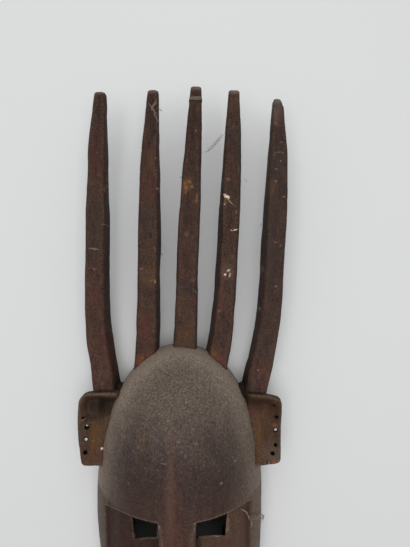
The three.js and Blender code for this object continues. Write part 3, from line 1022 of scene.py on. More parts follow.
@dataclass
class Mask:
    """The whole carving, built as one closed mesh.

    Attributes:
        offset: what is added to the carving frame to reach the part's frame, in mm.
        head: the hollow head with its face.
        horns: the five horns, from left to right.
        ears: the two ear plates.
        eyes: the two eye holes.
        bores: the small holes through the ears.
        webs: the low webs between the crown and the two outer horns.
        mouth: the block of the mouth.
        slit: the slit that is cut between its lips.
    """

    offset: Array
    head: Head = field(default_factory=Head)
    horns: tuple[Horn, ...] = (
        Horn((-74.6, -82.4, -81.5, -80.9, -78.8), (26.4, 20.6, 10.4), 393.2, 0.8, 0.4, 11, (5.0, 1.2), 2.3),
        Horn((-38.0, -33.1, -30.0, -28.8, -26.1), (25.0, 21.2, 10.4), 395.4, 1.4, 0.2, 12, (3.4, 1.2)),
        Horn((3.0, 5.4, 8.7, 13.4, 16.6), (25.4, 20.9, 10.6), 398.7, 0.6, 0.2, 13),
        Horn((29.4, 40.4, 47.2, 52.6, 54.3), (26.2, 21.4, 10.8), 395.0, 0.4, 0.2, 14, (5.2, 4.2)),
        Horn((74.6, 87.0, 92.6, 97.6, 97.8), (26.0, 22.0, 8.8), 385.6, -1.0, 6.0, 15, (3.2, 3.4), 2.7),
    )
    ears: tuple[Ear, ...] = (
        Ear(-1, LEFT_EAR_CORNERS, 9.0, 5.0, (66.0, 74.0), 64.5),
        Ear(1, RIGHT_EAR_CORNERS, 3.5, 5.5, (64.0, 70.0), 70.0),
    )
    eyes: tuple[EyeHole, ...] = (
        EyeHole(((-41.2, -2.6), (-38.2, -25.8), (-17.7, -24.4), (-17.4, -2.6))),
        EyeHole(((17.3, -2.6), (17.6, -23.4), (43.2, -22.4), (45.2, -2.6))),
    )
    bores: tuple[Bore, ...] = (
        Bore(-93.4, 59.4, 2.5, True, (-0.27, -0.06), 0.38),
        Bore(-94.1, 47.4, 2.6, True, (-0.33, -0.44), 0.38),
        Bore(-94.4, 34.8, 1.9),
        Bore(-97.2, 69.0, 1.2, False),
        Bore(95.0, 81.0, 1.3, False),
        Bore(97.4, 70.0, 1.6),
        Bore(96.3, 56.6, 2.3, True, (0.2, -0.34), 0.42),
        Bore(95.9, 42.3, 1.9),
        Bore(93.2, 33.9, 2.0),
    )
    webs: tuple[Block, ...] = (
        Block((-62.0, 92.6, 33.0), (4.0, 8.6, 7.0), Wood.HORN, 0.7),
        Block((63.4, 92.6, 33.0), (4.0, 8.6, 7.0), Wood.HORN, 0.7),
    )
    mouth: Block = Block((1.3, -178.0, 86.0), (21.0, 9.6, 9.4), Wood.HEAD)
    slit: Block = Block((1.3, -178.0, 96.5), (16.5, 1.6, 6.0), Wood.HEAD)

    def place(self, solid: Solid, name: str) -> bpy.types.Object:
        """A Blender object of a solid, in the part's frame and in metres.

        Args:
            solid: the mesh in the carving frame.
            name: the object's name.

        Returns:
            the object, linked to the scene, with one empty slot for each finish.
        """
        mesh = bpy.data.meshes.new(name)
        mesh.from_pydata(((solid.points + self.offset) * MM).tolist(), [], solid.faces.tolist())
        for wood in Wood:
            material = bpy.data.materials.get(wood.name) or bpy.data.materials.new(wood.name)
            mesh.materials.append(material)
        mesh.polygons.foreach_set("material_index", np.full(len(mesh.polygons), solid.finish))
        mesh.update()
        return new_object(name, mesh)

    def carve(self) -> bpy.types.Object:
        """Join and cut the solids into one closed mesh.

        Returns:
            the carving, before its relief and materials.
        """
        carving = self.place(self.head.outside(), "carved_mask")
        steps = [
            ("UNION", together([ear.solid() for ear in self.ears])),
            ("UNION", together([horn.solid() for horn in self.horns])),
            ("UNION", together([web.solid() for web in self.webs])),
            ("UNION", self.mouth.solid()),
            ("DIFFERENCE", self.slit.solid()),
            ("DIFFERENCE", self.head.hollow()),
            ("DIFFERENCE", together([eye.solid() for eye in self.eyes])),
            ("DIFFERENCE", together([bore.solid() for bore in self.bores])),
        ]
        tools = []
        for number, (operation, solid) in enumerate(steps):
            tool = self.place(solid, f"tool_{number}")
            tools.append(tool)
            join = carving.modifiers.new(f"step_{number}", "BOOLEAN")
            join.operation = operation
            join.solver = "MANIFOLD"
            join.object = tool
        graph = bpy.context.evaluated_depsgraph_get()
        finished = bpy.data.meshes.new_from_object(carving.evaluated_get(graph))
        carving.modifiers.clear()
        carving.data = finished
        for tool in tools:
            bpy.data.objects.remove(tool)
        return carving


def read(items: bpy.types.bpy_prop_collection, name: str, width: int, kind: type) -> Array:
    """One property of every vertex, edge, loop or face of a mesh.

    Args:
        items: the mesh's vertices, edges, loops or faces.
        name: the property.
        width: how many numbers it has for each.
        kind: the type of its numbers.

    Returns:
        the values, shape (n, width), or (n,) for a width of 1.
    """
    values = np.empty(len(items) * width, kind)
    items.foreach_get(name, values)
    return values.reshape(-1, width) if width > 1 else values


@dataclass(frozen=True)
class Skin:
    """A mesh's points and edges as arrays, in the carving frame and in mm.

    Attributes:
        points: places, shape (n, 3).
        normals: directions, shape (n, 3).
        edges: pairs of point numbers, shape (m, 2).
        finish: how much of each point belongs to each finish, shape (finishes, n).
    """

    points: Array
    normals: Array
    edges: Array
    finish: Array

    @classmethod
    def of(cls, mesh: bpy.types.Mesh, offset: Array) -> "Skin":
        """Read a mesh.

        Args:
            mesh: the mesh, in metres in the part's frame.
            offset: what the part's frame adds to the carving frame, in mm.

        Returns:
            its arrays.
        """
        count = len(mesh.vertices)
        sides = read(mesh.polygons, "loop_total", 1, int)
        wood = read(mesh.polygons, "material_index", 1, int)
        place = np.repeat(wood, sides) * count + read(mesh.loops, "vertex_index", 1, int)
        finish = np.bincount(place, minlength=len(Wood) * count).reshape(len(Wood), count)
        return cls(
            read(mesh.vertices, "co", 3, float) / MM - offset,
            read(mesh.vertices, "normal", 3, float),
            read(mesh.edges, "vertices", 2, int),
            finish / np.maximum(finish.sum(0), 1),
        )

    def mean(self, at_start: Array, at_end: Array) -> Array:
        """Mean over the edges that meet at each point.

        Args:
            at_start: what each edge gives to its first point.
            at_end: what it gives to its second point.

        Returns:
            the mean at each point.
        """
        start, end = self.edges.T
        count = len(self.points)
        degree = np.bincount(start, minlength=count) + np.bincount(end, minlength=count)
        total = np.bincount(start, at_start, count) + np.bincount(end, at_end, count)
        return total / np.maximum(degree, 1)

    def spread(self, value: Array, rounds: int) -> Array:
        """Mix each point's value with the mean of its neighbours'.

        Args:
            value: one value for each point.
            rounds: how often it is done.

        Returns:
            the spread values.
        """
        start, end = self.edges.T
        for _ in range(rounds):
            value = (value + self.mean(value[end], value[start])) / 2.0
        return value

    def bend(self, most: float = 0.3, least: float = 0.04) -> Array:
        """How sharply the surface bends, in turns of one radian per mm, positive on edges and
        negative in corners: the mean of 2 n.d / d.d over the edges d that leave each point.

        Args:
            most: the sharpest bend that counts.
            least: the least square of an edge's length that is divided by.

        Returns:
            the bend at each point, as a share of the sharpest.
        """
        start, end = self.edges.T
        along = self.points[end] - self.points[start]
        square = np.maximum((along**2).sum(1), least)
        near = -2.0 * (self.normals[start] * along).sum(1) / square
        far = 2.0 * (self.normals[end] * along).sum(1) / square
        return np.clip(self.mean(near, far), -most, most) / most


@dataclass(frozen=True)
class Relief:
    """Tool marks, chipped edges and unevenness, as small moves along the normals.

    Lengths are in mm. Each lattice stands before the height or depth that goes with it.

    Attributes:
        flat: the power that flattens the adze's facets on the horns.
        small: share of the facets' depth that the smaller strokes have.
        whole: height of the nicks' lattice up to which an edge is whole.
        head_chip: share of the horns' nicks on the head, as ear_chip on the ears.
        tooth: the head's fine unevenness, over its slow swell.
        rim: height over the back rim in which the relief fades to nothing.
        worn_gain: how much stronger the stored worn value is than the bend.
    """

    facets: Unevenness = Unevenness(21, (13.0, 24.0, 13.0))
    strokes: Unevenness = Unevenness(22, (5.0, 9.0, 5.0))
    stroke: float = 0.42
    small: float = 0.4
    flat: float = 0.7
    nicks: Unevenness = Unevenness(23, (4.5, 5.5, 4.5))
    whole: float = 0.28
    chip: float = 1.1
    head_chip: float = 0.35
    ear_chip: float = 0.8
    swell: Unevenness = Unevenness(24, (31.0, 37.0, 31.0))
    ripple: float = 0.35
    tooth: Unevenness = Unevenness(25, (4.2, 4.8, 4.2))
    grit: float = 0.13
    dents: Unevenness = Unevenness(26, (8.0, 9.0, 8.0))
    dent: float = 0.4
    gouges: Unevenness = Unevenness(27, (11.0, 19.0, 11.0))
    gouge: float = 0.8
    rim: float = 5.0
    worn_gain: float = 1.3

    def heights(self, skin: Skin, worn: Array) -> Array:
        """How far each point moves out.

        Args:
            skin: the mesh's arrays.
            worn: from 0 to 1, how much each point lies on an edge.

        Returns:
            the moves in mm.
        """
        p = skin.points
        facets = self.facets.at(p)
        horn = np.abs(facets) ** self.flat * np.sign(facets) * self.stroke
        horn += self.strokes.at(p) * self.stroke * self.small
        nicks = np.clip(self.nicks.at(p) - self.whole, 0.0, 1.0) * worn
        head = self.swell.at(p) * self.ripple + self.tooth.at(p) * self.grit
        finishes = [
            head - nicks * self.chip * self.head_chip,
            horn - nicks * self.chip,
            self.dents.at(p) * self.dent - nicks * self.chip * self.ear_chip,
            np.abs(self.gouges.at(p)) * self.gouge,
        ]
        return (skin.finish * np.stack(finishes)).sum(0)

    def apply(self, mesh: bpy.types.Mesh, offset: Array, top: float) -> None:
        """Move the mesh's points and store how worn, how deep and how upright they lie.

        Args:
            mesh: the carving.
            offset: what the part's frame adds to the carving frame, in mm.
            top: the greatest height in mm.
        """
        skin = Skin.of(mesh, offset)
        worn = np.clip(skin.spread(skin.bend(), 2), 0.0, 1.0)
        height = self.heights(skin, worn) * ease(0.0, self.rim, skin.points[:, 2])
        moved = skin.points + skin.normals * height[:, None]
        moved[:, 2] = np.clip(moved[:, 2], 0.0, top)
        mesh.vertices.foreach_set("co", ((moved + offset) * MM).ravel())
        mesh.update()
        skin = Skin.of(mesh, offset)
        bend = skin.spread(skin.bend(), 2) * self.worn_gain
        up = skin.spread(skin.normals[:, 2], 1)
        for name, value in (("worn", bend), ("deep", -bend), ("up", up)):
            layer = mesh.attributes.new(name, "FLOAT", "POINT")
            layer.data.foreach_set("value", np.clip(value, 0.0, 1.0))


@dataclass(frozen=True)
class Strand:
    """A thread of lint: a wavering tube through a few points.

    Attributes:
        points: places in mm in the carving frame.
        radius: its radius in mm.
        waver: how far it strays in mm.
        seed: which waver it has.
        step: length of its pieces in mm.
        pitch: how far apart its turns are in mm.
    """

    points: tuple[Triple, ...]
    radius: float = 0.2
    waver: float = 0.5
    seed: int = 1
    step: float = 0.55
    pitch: Triple = (2.6, 2.6, 2.6)

    def path(self) -> Array:
        """The middle line: straight lines between the points, smoothed by a running mean of
        five, with a waver that fades at both ends.

        Returns:
            places along it, shape (n, 3).
        """
        points = np.array(self.points)
        steps = np.concatenate([[0.0], np.cumsum(np.linalg.norm(np.diff(points, axis=0), axis=1))])
        count = max(int(steps[-1] / self.step), 10)
        even = np.linspace(0.0, steps[-1], count)
        line = np.stack([np.interp(even, steps, points[:, k]) for k in range(3)], 1)
        padded = np.concatenate([line[:1], line[:1], line, line[-1:], line[-1:]])
        line = sum(padded[k : k + count] for k in range(5)) / 5.0
        fade = np.sin(np.linspace(0.0, math.pi, count))[:, None]
        stray = [Unevenness(self.seed + axis, self.pitch).at(line) for axis in (31, 47, 59)]
        return line + np.stack(stray, 1) * self.waver * fade

    def solid(self) -> Solid:
        """The tube, thinner at both ends.

        Returns:
            the closed mesh.
        """
        line = self.path()
        along = np.gradient(line, axis=0)
        along /= np.linalg.norm(along, axis=1, keepdims=True)
        side = np.cross(along, (0.12, 0.08, 1.0))
        side /= np.linalg.norm(side, axis=1, keepdims=True)
        over = np.cross(side, along)
        turn = np.linspace(0.0, 2.0 * math.pi, 6, endpoint=False)[:, None, None]
        share = np.linspace(0.0, 1.0, len(line))[:, None]
        radius = self.radius * (1.0 - 0.7 * np.abs(2.0 * share - 1.0) ** 4)
        ring = line + radius * (np.cos(turn) * side + np.sin(turn) * over)
        return Solid(*closed_tube(ring.transpose(1, 0, 2)[:, ::-1]), Wood.HEAD)


@dataclass(frozen=True)
class Winding:
    """Thread wound round the tip of one horn.

    Attributes:
        low: y of its first turn in mm.
        high: y of its last turn.
        turns: how many turns it has.
        radius: the thread's radius in mm.
        sway: how far its turns rise and fall in mm.
        square: how square its turns are, 2 when round.
        points: how many points each turn has.
    """

    low: float = 385.0
    high: float = 388.2
    turns: float = 6.3
    radius: float = 0.33
    sway: float = 0.5
    square: float = 5.0
    points: int = 28
    waver: float = 0.25
    seed: int = 5

    def strand(self, horn: Horn) -> Strand:
        """The thread as a helix on the horn's rounded section.

        Args:
            horn: the horn that it is wound round.

        Returns:
            the strand.
        """
        share = np.linspace(0.0, 1.0, int(self.turns * self.points))
        y = blend(self.low, self.high, share) + self.sway * np.sin(share * self.turns * 9.0)
        angle = share * self.turns * 2.0 * math.pi
        across, up = np.cos(angle), np.sin(angle)
        w, d = horn.half_sizes(y)
        reach = (np.abs(across) ** self.square + np.abs(up) ** self.square) ** (-1.0 / self.square)
        x = horn.path(y) + (w + self.radius * 0.7) * across * reach
        z = horn.middle_z(y) + (d + self.radius * 0.7) * up * reach
        return Strand(tuple(zip(x, y, z)), self.radius, self.waver, self.seed)


@dataclass(frozen=True)
class Tuft:
    """Loose fibres caught on the wood along a curve.

    Each fibre follows a share of the curve and lies a little to one side of it.

    Attributes:
        curve: places along the curve, in mm in the carving frame.
        seed: which tangle it is.
        fibres: how many fibres it has.
        spread: how far a fibre lies from the curve in mm.
        radius: the thickest fibre's radius in mm.
        waver: how far a fibre strays on its way in mm.
        share: the smallest share of the curve that a fibre follows.
    """

    curve: tuple[Triple, ...]
    seed: int
    fibres: int = 1
    spread: float = 0.0
    radius: float = 0.3
    waver: float = 0.3
    share: float = 1.0

    def strands(self) -> list[Strand]:
        """The fibres, each drawn from the tuft's own random numbers.

        Returns:
            one strand for each fibre.
        """
        dice = np.random.default_rng(self.seed)
        curve = np.array(self.curve)
        knots = np.linspace(0.0, 1.0, len(curve))
        aside = self.spread * np.array([1.0, 1.0, 0.3])
        strands = []
        for number in range(self.fibres):
            length = dice.uniform(self.share, 1.0)
            start = dice.uniform(0.0, 1.0 - length)
            along = np.linspace(start, start + length, 4)
            line = np.stack([np.interp(along, knots, curve[:, k]) for k in range(3)], 1)
            points = line + dice.normal(size=line.shape) * aside
            radius = self.radius * dice.uniform(0.5, 1.0)
            strands.append(Strand(tuple(map(tuple, points)), radius, self.waver, self.seed + number))
        return strands


@dataclass(frozen=True)
class Lint:
    """All the threads of lint and cobweb caught on the carving.

    Attributes:
        winding: the thread round the tip of a horn.
        tufts: the loose fibres.
    """

    winding: Winding = field(default_factory=Winding)
    tufts: tuple[Tuft, ...] = (
        Tuft(((-22, 385, 58), (-24, 379, 59), (-29, 374, 59)), 2, 5, 0.9, 0.5, 0.8, 0.7),
        Tuft(((-30, 380, 58), (-25, 374, 59), (-22, 367, 59), (-21, 360, 58)), 3, 5, 1.0, 0.45, 0.9, 0.3),
        Tuft(((-21, 376, 57), (-16, 374, 56)), 6, 2, 0.4, 0.3, 0.5),
        Tuft(((-38, 291, 57), (-40, 290, 56)), 8),
        Tuft(((-18, 234, 55), (-16, 232, 55)), 9),
        Tuft(((3, 309, 57), (0, 308, 56)), 10),
        Tuft(((23, 332, 55), (29, 335, 55), (39, 346, 57), (45, 353, 57)), 11, 9, 1.3, 0.1, 1.8, 0.6),
        Tuft(((13, 199, 58), (16, 196, 58), (19, 193, 57)), 14, waver=0.4),
        Tuft(((63, 307, 55), (67, 306, 54), (66, 303, 54)), 15, waver=0.5),
        Tuft(((81, 264, 55), (80, 260, 55)), 16, waver=0.4),
        Tuft(((58, -4, 78), (63, -11, 71), (67, -18, 66), (70, -24, 65)), 17, 4, 0.5, 0.45, 0.9, 0.6),
        Tuft(
            ((68, -19, 67), (74, -23, 59), (79, -27, 51), (83, -31, 46), (83, -36, 45)),
            seed=19,
            fibres=12,
            spread=1.8,
            radius=0.3,
            waver=1.8,
            share=0.2,
        ),
        Tuft(((77, -28, 51), (82, -27, 47), (85, -32, 45), (81, -37, 47)), 41, 2, 0.3, 0.3, 0.5, 0.8),
        Tuft(((70, -24, 62), (71, -29, 61), (69, -33, 62)), 47, 3, 0.5, 0.45, 0.5, 0.7),
    )

    def solid(self, horn: Horn) -> Solid:
        """The threads as one mesh.

        Args:
            horn: the horn with thread wound round its tip.

        Returns:
            the mesh.
        """
        threads = [self.winding.strand(horn)]
        for tuft in self.tufts:
            threads += tuft.strands()
        return together([thread.solid() for thread in threads])


def paint(red: float, green: float, blue: float) -> tuple[float, float, float, float]:
    """A colour as it shows in daylight, from 0 to 255, as the linear colour that a shader needs."""
    shown = np.array([red, green, blue]) / 255.0
    linear = np.where(shown <= 0.04045, shown / 12.92, ((shown + 0.055) / 1.055) ** 2.4)
    return (*linear.tolist(), 1.0)


class Tint(Enum):
    """Named colours of the marks, as they show in daylight from 0 to 255."""

    PALE = (146, 116, 98)
    CREAM = (228, 208, 186)
    OCHRE = (112, 82, 50)
    ORANGE = (146, 90, 54)
    DARK = (26, 18, 15)
    RED = (96, 53, 45)
    GREY = (57, 49, 48)
    # a dusty colour, also used as a painted highlight on the horns' tips
    DUST_AND_HIGHLIGHT = (150, 139, 128)
    RUST = (120, 66, 48)
    GOLD = (104, 72, 36)


PALE, CREAM, OCHRE, ORANGE, DARK, RED, GREY, DUST_AND_HIGHLIGHT, RUST, GOLD = Tint


@dataclass(frozen=True)
class Mark:
    """A scratch, chip, stain, painted shade or painted highlight: an ellipse seen from the front,
    with a ragged edge.

    Attributes:
        x: its middle in the carving frame, in mm.
        y: its middle in the carving frame, in mm.
        wide: its half width in mm.
        tall: its half height in mm.
        tint: its colour.
        strength: how much it covers.
        turn: how far it is turned to the left, in radians.
        soft: how gradually its edge fades, from 0.25, a crisp edge, to 1, a haze.
    """

    x: float
    y: float
    wide: float
    tall: float
    tint: Tint
    strength: float = 0.8
    turn: float = 0.0
    soft: float = 0.25


class Nodes:
    """Adds shader nodes to one tree and joins them."""

    def __init__(self, tree: bpy.types.NodeTree) -> None:
        """Start on a material's tree or a node group."""
        self.tree = tree

    def feed(self, socket: Socket, value: object) -> None:
        """Join an output to a socket, or set the socket's own value.

        Args:
            socket: an input socket.
            value: an output, or a number, colour or vector.
        """
        if isinstance(value, Socket):
            self.tree.links.new(value, socket)
        else:
            socket.default_value = value

    def add(self, kind: str, inputs: dict, **settings: object) -> Node:
        """One node.

        Args:
            kind: the node's type.
            inputs: values or outputs for its sockets.
            **settings: its own properties.

        Returns:
            the node.
        """
        node = self.tree.nodes.new(kind)
        for name, value in settings.items():
            setattr(node, name, value)
        for key, value in inputs.items():
            self.feed(node.inputs[key], value)
        return node

    def math(self, operation: str, first: object, second: object = 0.0) -> Socket:
        """A sum, product or the like of two numbers."""
        return self.add("ShaderNodeMath", {0: first, 1: second}, operation=operation).outputs[0]

    def vector(self, operation: str, first: object, second: object) -> Socket:
        """A sum, product or the like of two vectors."""
        node = self.add("ShaderNodeVectorMath", {0: first, 1: second}, operation=operation)
        return node.outputs["Vector"]

    def product(self, *factors: object) -> Socket:
        """Several numbers multiplied, from left to right."""
        return reduce(lambda sofar, factor: self.math("MULTIPLY", sofar, factor), factors)

    def gain(self, value: object, amount: float) -> Socket:
        """A factor that is 1 plus a value times an amount."""
        return self.math("ADD", self.math("MULTIPLY", value, amount), 1.0)

    def step(self, value: object, low: object, high: object) -> Socket:
        """A smooth step from 0 at low to 1 at high."""
        inputs = {"Value": value, "From Min": low, "From Max": high}
        kind = "ShaderNodeMapRange"
        return self.add(kind, inputs, interpolation_type="SMOOTHSTEP").outputs["Result"]

    def noise(self, place: object, scale: Triple, detail: float, rough: float) -> Node:
        """A noise texture.

        Args:
            place: places in mm.
            scale: features for each mm along x, y and z.
            detail: how many finer layers it has.
            rough: how strong they are.

        Returns:
            the node.
        """
        scaled = self.vector("MULTIPLY", place, scale)
        inputs = {"Vector": scaled, "Scale": 1.0, "Detail": detail, "Roughness": rough}
        return self.add("ShaderNodeTexNoise", inputs)

    def mix(self, share: object, first: object, second: object) -> Socket:
        """A mix of two colours."""
        node = self.add("ShaderNodeMix", {0: share, 6: first, 7: second}, data_type="RGBA")
        return node.outputs[2]

    def scale(self, colour: object, factor: object) -> Socket:
        """A colour made lighter or darker."""
        return self.add(
            "ShaderNodeVectorMath", {0: colour, "Scale": factor}, operation="SCALE"
        ).outputs["Vector"]

    def split(self, place: object) -> tuple[Socket, ...]:
        """The three parts of a vector."""
        return tuple(self.add("ShaderNodeSeparateXYZ", {0: place}).outputs)

    def stored(self, name: str) -> Socket:
        """A value stored on the mesh's points."""
        return self.add("ShaderNodeAttribute", {}, attribute_name=name).outputs["Fac"]

    def use(self, group: bpy.types.NodeTree, inputs: dict) -> Node:
        """A node group.

        Args:
            group: its tree.
            inputs: values or outputs for its sockets.

        Returns:
            the node that holds it.
        """
        node = self.tree.nodes.new("ShaderNodeGroup")
        node.node_tree = group
        for key, value in inputs.items():
            self.feed(node.inputs[key], value)
        return node


def open_material(material: bpy.types.Material) -> tuple[Nodes, Node]:
    """A material's nodes helper and its Principled shader."""
    material.use_nodes = True
    return Nodes(material.node_tree), material.node_tree.nodes["Principled BSDF"]


@dataclass(frozen=True)
class Pattern:
    """A noise cut to a mask.

    Attributes:
        scale: its features for each mm along x, y and z.
        detail: how many finer layers it has.
        rough: how strong they are.
        low: the noise where the mask is 0.
        high: the noise where it is 1.
    """

    scale: Triple
    detail: float
    rough: float
    low: float
    high: float

    def mask(self, nodes: Nodes, place: object) -> Socket:
        """The mask at places in mm."""
        noise = nodes.noise(place, self.scale, self.detail, self.rough)
        return nodes.step(noise.outputs["Fac"], self.low, self.high)


@dataclass(frozen=True)
class Fade:
    """A share that grows smoothly along one measure.

    Attributes:
        start: where it is 0.
        end: where it has grown to its full size.
        full: that size.
    """

    start: float
    end: float
    full: float = 1.0

    def at(self, nodes: Nodes, measure: object) -> Socket:
        """The share at a measure."""
        grown = nodes.step(measure, self.start, self.end)
        return grown if self.full == 1.0 else nodes.math("MULTIPLY", grown, self.full)


def open_group(name: str, inputs: dict[str, str], outputs: dict[str, str]) -> tuple:
    """An empty node group.

    Args:
        name: its name.
        inputs: the kind of each input, by name.
        outputs: the kind of each output, by name.

    Returns:
        the nodes helper, the group's input node and its output node.
    """
    group = bpy.data.node_groups.new(name, "ShaderNodeTree")
    for side, sockets in (("INPUT", inputs), ("OUTPUT", outputs)):
        for label, kind in sockets.items():
            group.interface.new_socket(label, in_out=side, socket_type=f"NodeSocket{kind}")
    nodes = Nodes(group)
    return nodes, nodes.add("NodeGroupInput", {}), nodes.add("NodeGroupOutput", {})


def mark_group() -> bpy.types.NodeTree:
    """The mask of one mark: the place is turned and divided by the mark's half sizes, and the
    mask falls from 1 to 0 round a distance of 1.

    Returns:
        the node group.
    """
    inputs = {"Place": "Vector", "Middle": "Vector", "Shrink": "Vector", "Turn": "Float"}
    inputs |= {"Strength": "Float", "Soft": "Float"}
    nodes, start, end = open_group("mark", inputs, {"Mask": "Float"})
    turned = nodes.add(
        "ShaderNodeVectorRotate",
        {"Vector": start.outputs["Place"], "Center": start.outputs["Middle"]},
        rotation_type="Z_AXIS",
    )
    nodes.feed(turned.inputs["Angle"], start.outputs["Turn"])
    away = nodes.vector("SUBTRACT", turned.outputs[0], start.outputs["Middle"])
    scaled = nodes.vector("MULTIPLY", away, start.outputs["Shrink"])
    length = nodes.add("ShaderNodeVectorMath", {0: scaled}, operation="LENGTH")
    outer = nodes.math("ADD", 1.0, start.outputs["Soft"])
    inner = nodes.math("SUBTRACT", 1.0, start.outputs["Soft"])
    inside = nodes.step(length.outputs["Value"], outer, inner)
    nodes.feed(end.inputs["Mask"], nodes.math("MULTIPLY", inside, start.outputs["Strength"]))
    return nodes.tree


GRAIN = {
    "Streak": Pattern((0.42, 0.03, 0.42), 4.0, 0.6, 0.32, 0.68),
    "Mottle": Pattern((0.62, 0.56, 0.62), 3.0, 0.65, 0.28, 0.72),
    "Broad": Pattern((0.06, 0.034, 0.06), 3.0, 0.5, 0.35, 0.65),
    "Speck": Pattern((0.36, 0.4, 0.36), 1.0, 0.4, 0.66, 0.74),
    "Pore": Pattern((1.3, 0.07, 1.3), 2.0, 0.5, 0.58, 0.7),
}


def grain_group() -> bpy.types.NodeTree:
    """The wood's own pattern, from noise drawn out along the grain.

    Returns:
        the node group, with streaks, fine mottle, broad patches, pale specks and pores.
    """
    nodes, start, end = open_group("grain", {"Place": "Vector"}, dict.fromkeys(GRAIN, "Float"))
    for label, pattern in GRAIN.items():
        nodes.feed(end.inputs[label], pattern.mask(nodes, start.outputs["Place"]))
    return nodes.tree


def haze(
    x: float, y: float, wide: float, tall: float, tint: Tint, strength: float, turn: float = 0.0
) -> Mark:
    """A mark with no clear edge: a broad patch of another hue, of painted shade or of painted highlight."""
    return Mark(x, y, wide, tall, tint, strength, turn, 0.9)


